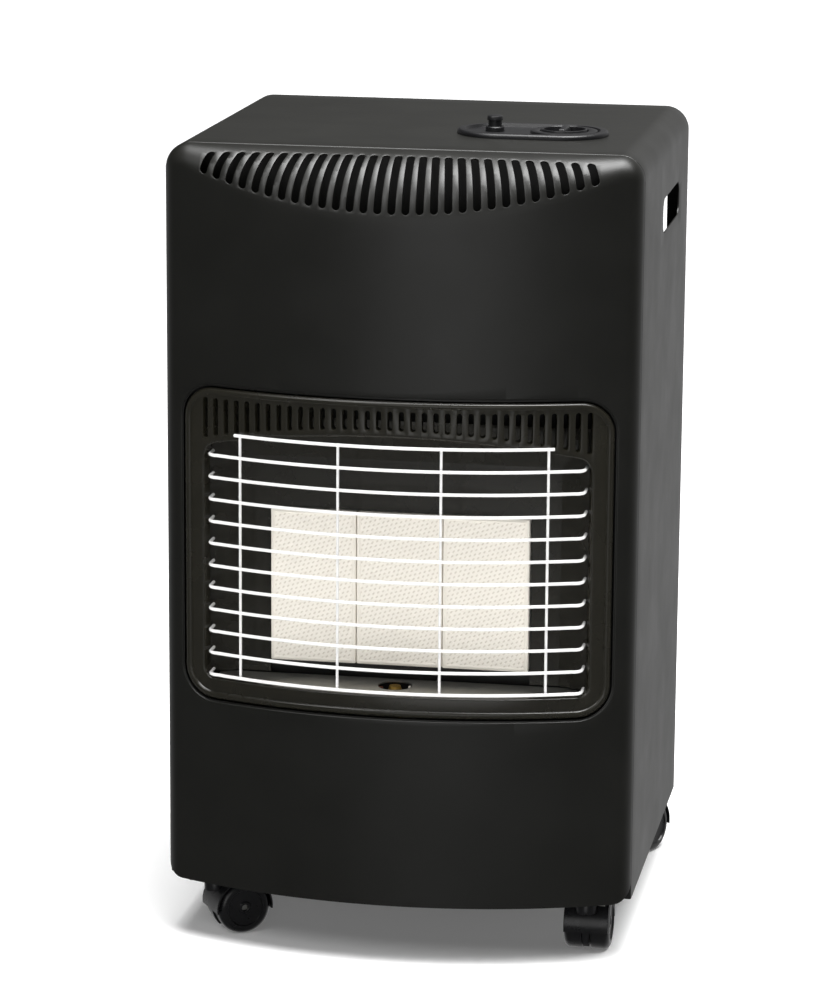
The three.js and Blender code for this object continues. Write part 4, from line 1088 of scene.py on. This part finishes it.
def stadiumSheet(cx, cy, length, across, z, segments=40):
    # flat stadium outline, face up
    bm = bmesh.new()
    turn = Matrix.Rotation(math.pi / segments, 4, "Z")
    bmesh.ops.create_circle(bm, cap_ends=True, segments=segments, radius=across / 2, matrix=turn)
    reach = (length - across) / 2
    for vert in bm.verts:
        vert.co.x += reach if vert.co.x > 0 else -reach
    bmesh.ops.translate(bm, vec=(cx, cy, z), verts=bm.verts)
    return bm


def makeBezel(info):
    cx = info["bezelAt"][0]
    z = topZ + info["foot"]
    bm = stadiumSheet(cx, bezelY, info["length"], info["across"], z)
    raiseFace(bm, bm.faces[:], (0, 0, info["rise"]))
    bmesh.ops.recalc_face_normals(bm, faces=bm.faces)
    top = [f for f in bm.faces if f.normal.z > 0.9]
    rim = [e for f in top for e in f.edges]
    softenEdges(bm, rim, info["rimSoft"], 5)
    for width, depth in (
        (info["rim"] - info["rimSoft"], 0), (info["wellSlope"], info["wellFloor"] - info["rise"]),
    ):
        top = [f for f in bm.faces if f.normal.z > 0.99 and f.calc_area() > info["wellArea"]]
        bmesh.ops.inset_region(bm, faces=top, thickness=width, depth=depth)
    holes = bmesh.new()
    for x, radius in (
        (info["knobAt"], info["knobRadius"] + info["knobGap"]),
        (info["igniterAt"], info["barrel"] + info["barrelGap"]),
    ):
        bmesh.ops.create_cone(
            holes, cap_ends=True, segments=64, radius1=radius, radius2=radius, depth=30,
            matrix=Matrix.Translation((x, bezelY, topZ)),
        )
    bm = pierce(bm, holes)
    # raised ring round the knob
    inner, outer = info["ring"] - info["ringWall"], info["ring"]
    low, high = topZ + info["ringFoot"], topZ + info["foot"] + info["rise"] - 0.2
    outline = [
        (inner, low), (outer, low), (outer, high - 1), (outer - 0.3, high - 0.3),
        (outer - 1, high), (inner + 1, high), (inner + 0.3, high - 0.3), (inner, high - 1),
        (inner, low),
    ]
    ring = turnedBody(outline, (info["knobAt"], bezelY, 0), 72)
    pourInto(bm, ring)
    return bm


def makeKnob(info):
    base = topZ + info["knobBase"]
    top = base + info["knobHeight"]
    r = info["knobRadius"]
    dish = top - info["knobDish"]
    outline = [
        (0, base), (r - 0.8, base), (r, base + 0.8), (r, top - 1), (r - 0.3, top - 0.3),
        (r - 0.9, top), (r - 1.4, top), (r - 2, top - 0.5), (r - 2.8, dish + 1), (r - 4, dish),
        (0, dish),
    ]
    centre = (info["knobAt"], bezelY, 0)
    bm = turnedBody(outline, centre, 72)
    half = info["grip"] / 2
    length = r - 1.8
    bar = slabOf(-half, half, -length, length, dish - 1, top + info["gripProud"])
    for vert in bar.verts:
        if vert.co.z > dish:
            vert.co.x *= info["gripTaper"][0]
            vert.co.y *= info["gripTaper"][1]
    proud = [e for e in bar.edges if any(v.co.z > dish for v in e.verts)]
    softenEdges(bar, proud, info["gripSoft"], 4)
    bmesh.ops.translate(bar, vec=centre, verts=bar.verts)
    pourInto(bm, bar)
    return bm


bezel = makeBezel(controlInfo)
addPiece("controlBezel", bezel, blackPlastic, "cabinet", ["control_bezel"])
knob = makeKnob(controlInfo)
addPiece("controlKnob", knob, blackPlastic, "knob_turn", ["control_knob"])


def makeCollarRing(info):
    low, high = topZ - 4.2, topZ + info["barrelTop"]
    inner, outer = info["igniterRadius"] + 0.5, info["barrel"]
    outline = [
        (inner, low), (outer - 0.8, low), (outer - 0.8, topZ + 2), (outer, topZ + 2),
        (outer, high - 0.8), (outer - 0.6, high), (info["igniterRadius"] + 0.9, high),
        (inner, high - 0.5), (inner, low),
    ]
    return turnedBody(outline, (info["igniterAt"], bezelY, 0))


def makeButton(info):
    r, low, high = info["igniterRadius"], topZ - 20, topZ + info["buttonTop"]
    cap = r + 1.1  # the cap overhangs the stem and stops above the collar when pressed
    outline = [
        (0, low), (r, low), (r, high - 4.8), (cap - 0.5, high - 4.7), (cap, high - 4.2),
        (cap, high - 1.8), (cap - 0.5, high - 0.9), (cap - 1.8, high - 0.3),
        (cap - 4, high - 0.05), (0, high),
    ]
    return turnedBody(outline, (info["igniterAt"], bezelY, 0))


barrel = makeCollarRing(controlInfo)
addPiece("igniterCollar", barrel, blackPlastic, "cabinet", ())
button = makeButton(controlInfo)
addPiece(
    "igniterButton", button, blackPlastic, "igniter_press", ["igniter_button"]
)
print("controls ready")


castorInfo = {
    "wheelRadius": 24.5, "wheelWidth": 17.0, "spacing": 7.0, "hoodRadius": 27.0, "wall": 1.6,
    "bore": 3.2, "shoulder": 6.0, "trail": 22.0, "inset": 40.0, "front": 2.0, "rear": 49.0,
    "pinHole": 4.4, "boss": 9.5, "bossFoot": 40.0, "bossTop": 52.2, "webFoot": -18.0,
    "past": 0.12,  # radians that the hood reaches below level at each end
    "turns": {"front_left": 213, "front_right": 270, "rear_left": 110, "rear_right": 246},
}


def wheelOutline(info):
    inner = info["spacing"] / 2
    outer = inner + info["wheelWidth"]
    r, bore, curve = info["wheelRadius"], info["bore"], info["shoulder"]
    outline = [(bore, inner), (r - 1.2, inner), (r - 0.3, inner + 0.4), (r, inner + 1.5)]
    for k in range(7):  # full round shoulder from the tread to the outer face
        angle = k / 6 * math.pi / 2
        across = r - curve + curve * math.cos(angle)
        outline.append((across, outer - curve + curve * math.sin(angle)))
    outline += [(r - 7.5, outer), (r - 8.3, outer - 1.2), (r - 12, outer - 1.8), (6, outer - 1.8)]
    outline += [(5, outer - 0.8), (bore, outer - 0.8), (bore, inner)]
    return outline


def makeWheel(info, side):
    bm = turnedBody(wheelOutline(info), (0, 0, 0), 64)
    turn = Matrix.Rotation(-side * math.pi / 2, 4, "X")
    bmesh.ops.transform(bm, matrix=turn, verts=bm.verts)
    bmesh.ops.translate(bm, vec=(-info["trail"], 0, info["wheelRadius"]), verts=bm.verts)
    return bm


def makeHood(info):
    # fender spun over the wheels, with a web down the middle and a boss round the pin
    half = info["spacing"] / 2 + info["wheelWidth"] - 0.5
    r, wall, past = info["hoodRadius"], info["wall"], info["past"]
    section = [
        (r - wall, -half), (r - 0.5, -half), (r, -half + 0.5), (r, half - 0.5), (r - 0.5, half),
        (r - wall, half),
    ]
    bm = bmesh.new()
    verts = [bm.verts.new((a * math.cos(-past), y, a * math.sin(-past))) for a, y in section]
    edges = [bm.edges.new((verts[i], verts[(i + 1) % len(verts)])) for i in range(len(verts))]
    bmesh.ops.spin(
        bm, geom=verts + edges, cent=(0, 0, 0), axis=(0, -1, 0), angle=math.pi + 2 * past, steps=48
    )
    ends = [e for e in bm.edges if e.is_boundary]
    bmesh.ops.edgeloop_fill(bm, edges=ends)
    web = bmesh.new()
    bmesh.ops.create_cone(
        web, cap_ends=True, segments=48, radius1=r - 1, radius2=r - 1, depth=info["spacing"] - 1.2,
        matrix=Matrix.Rotation(math.pi / 2, 4, "X"),
    )
    geom = web.verts[:] + web.edges[:] + web.faces[:]
    bmesh.ops.bisect_plane(
        web, geom=geom, plane_co=(0, 0, info["webFoot"]), plane_no=(0, 0, -1), clear_outer=True
    )
    bmesh.ops.edgeloop_fill(web, edges=[e for e in web.edges if e.is_boundary])
    pourInto(bm, web)
    bmesh.ops.translate(bm, vec=(-info["trail"], 0, info["wheelRadius"]), verts=bm.verts)
    hole, out, foot, top = info["pinHole"], info["boss"], info["bossFoot"], info["bossTop"]
    outline = [
        (hole, foot), (out, foot), (out, top - 1.2), (out - 0.8, top), (hole, top), (hole, foot),
    ]
    pourInto(bm, turnedBody(outline, (0, 0, 0), 40))
    bmesh.ops.recalc_face_normals(bm, faces=bm.faces)
    return bm


def makeCastors(info):
    for name, degrees in info["turns"].items():
        x = (halfWidth - info["inset"]) * (1 if "right" in name else -1)
        y = frontY + info["front"] if "front" in name else rearY - info["rear"]
        place = Matrix.Translation((x, y, 0)) @ Matrix.Rotation(math.radians(degrees), 4, "Z")
        hood = makeHood(info)
        bmesh.ops.transform(hood, matrix=place, verts=hood.verts)
        addPiece(
            f"castorHood_{name}", hood, castorNylon, f"swivel_{name}", [f"castor_hood_{name}"],
        )
        for letter, side in (("a", -1), ("b", 1)):
            wheel = makeWheel(info, side)
            bmesh.ops.transform(wheel, matrix=place, verts=wheel.verts)
            addPiece(
                f"castorWheel_{letter}_{name}", wheel, castorNylon, f"wheel_{letter}_{name}",
                [f"castor_wheel_{letter}_{name}"], 30,
            )


makeCastors(castorInfo)
print("castors ready")


carriedOver = [
    (powderCoat, "base_tray rear_cover burner_panel"),
    (surroundEnamel, "reflector"),
    (galvanisedSteel, "heat_shield pilot_bracket valve_bracket valve_push_rod"),
    (turnedBrass, "injector_rail pilot_burner gas_valve valve_spindle inlet_nozzle"),
    (copperTube, "thermocouple pilot_pipe"),
    (porcelain, "spark_electrode"),
    (siliconeSheath, "ignition_lead"),
    (blackPlastic, "igniter_body cover_clip_left cover_clip_right"),
]
for place in ("left", "centre", "right"):
    carriedOver.append((galvanisedSteel, f"burner_box_{place}"))
    carriedOver.append((copperTube, f"burner_pipe_{place}"))
for name in castorInfo["turns"]:
    carriedOver.append((galvanisedSteel, f"castor_plate_{name} castor_axle_{name}"))
for material, nodes in carriedOver:
    for node in nodes.split():
        item = bpy.data.objects[node]
        item.data.materials.clear()
        item.data.materials.append(material)
print("carried-over pieces finished")
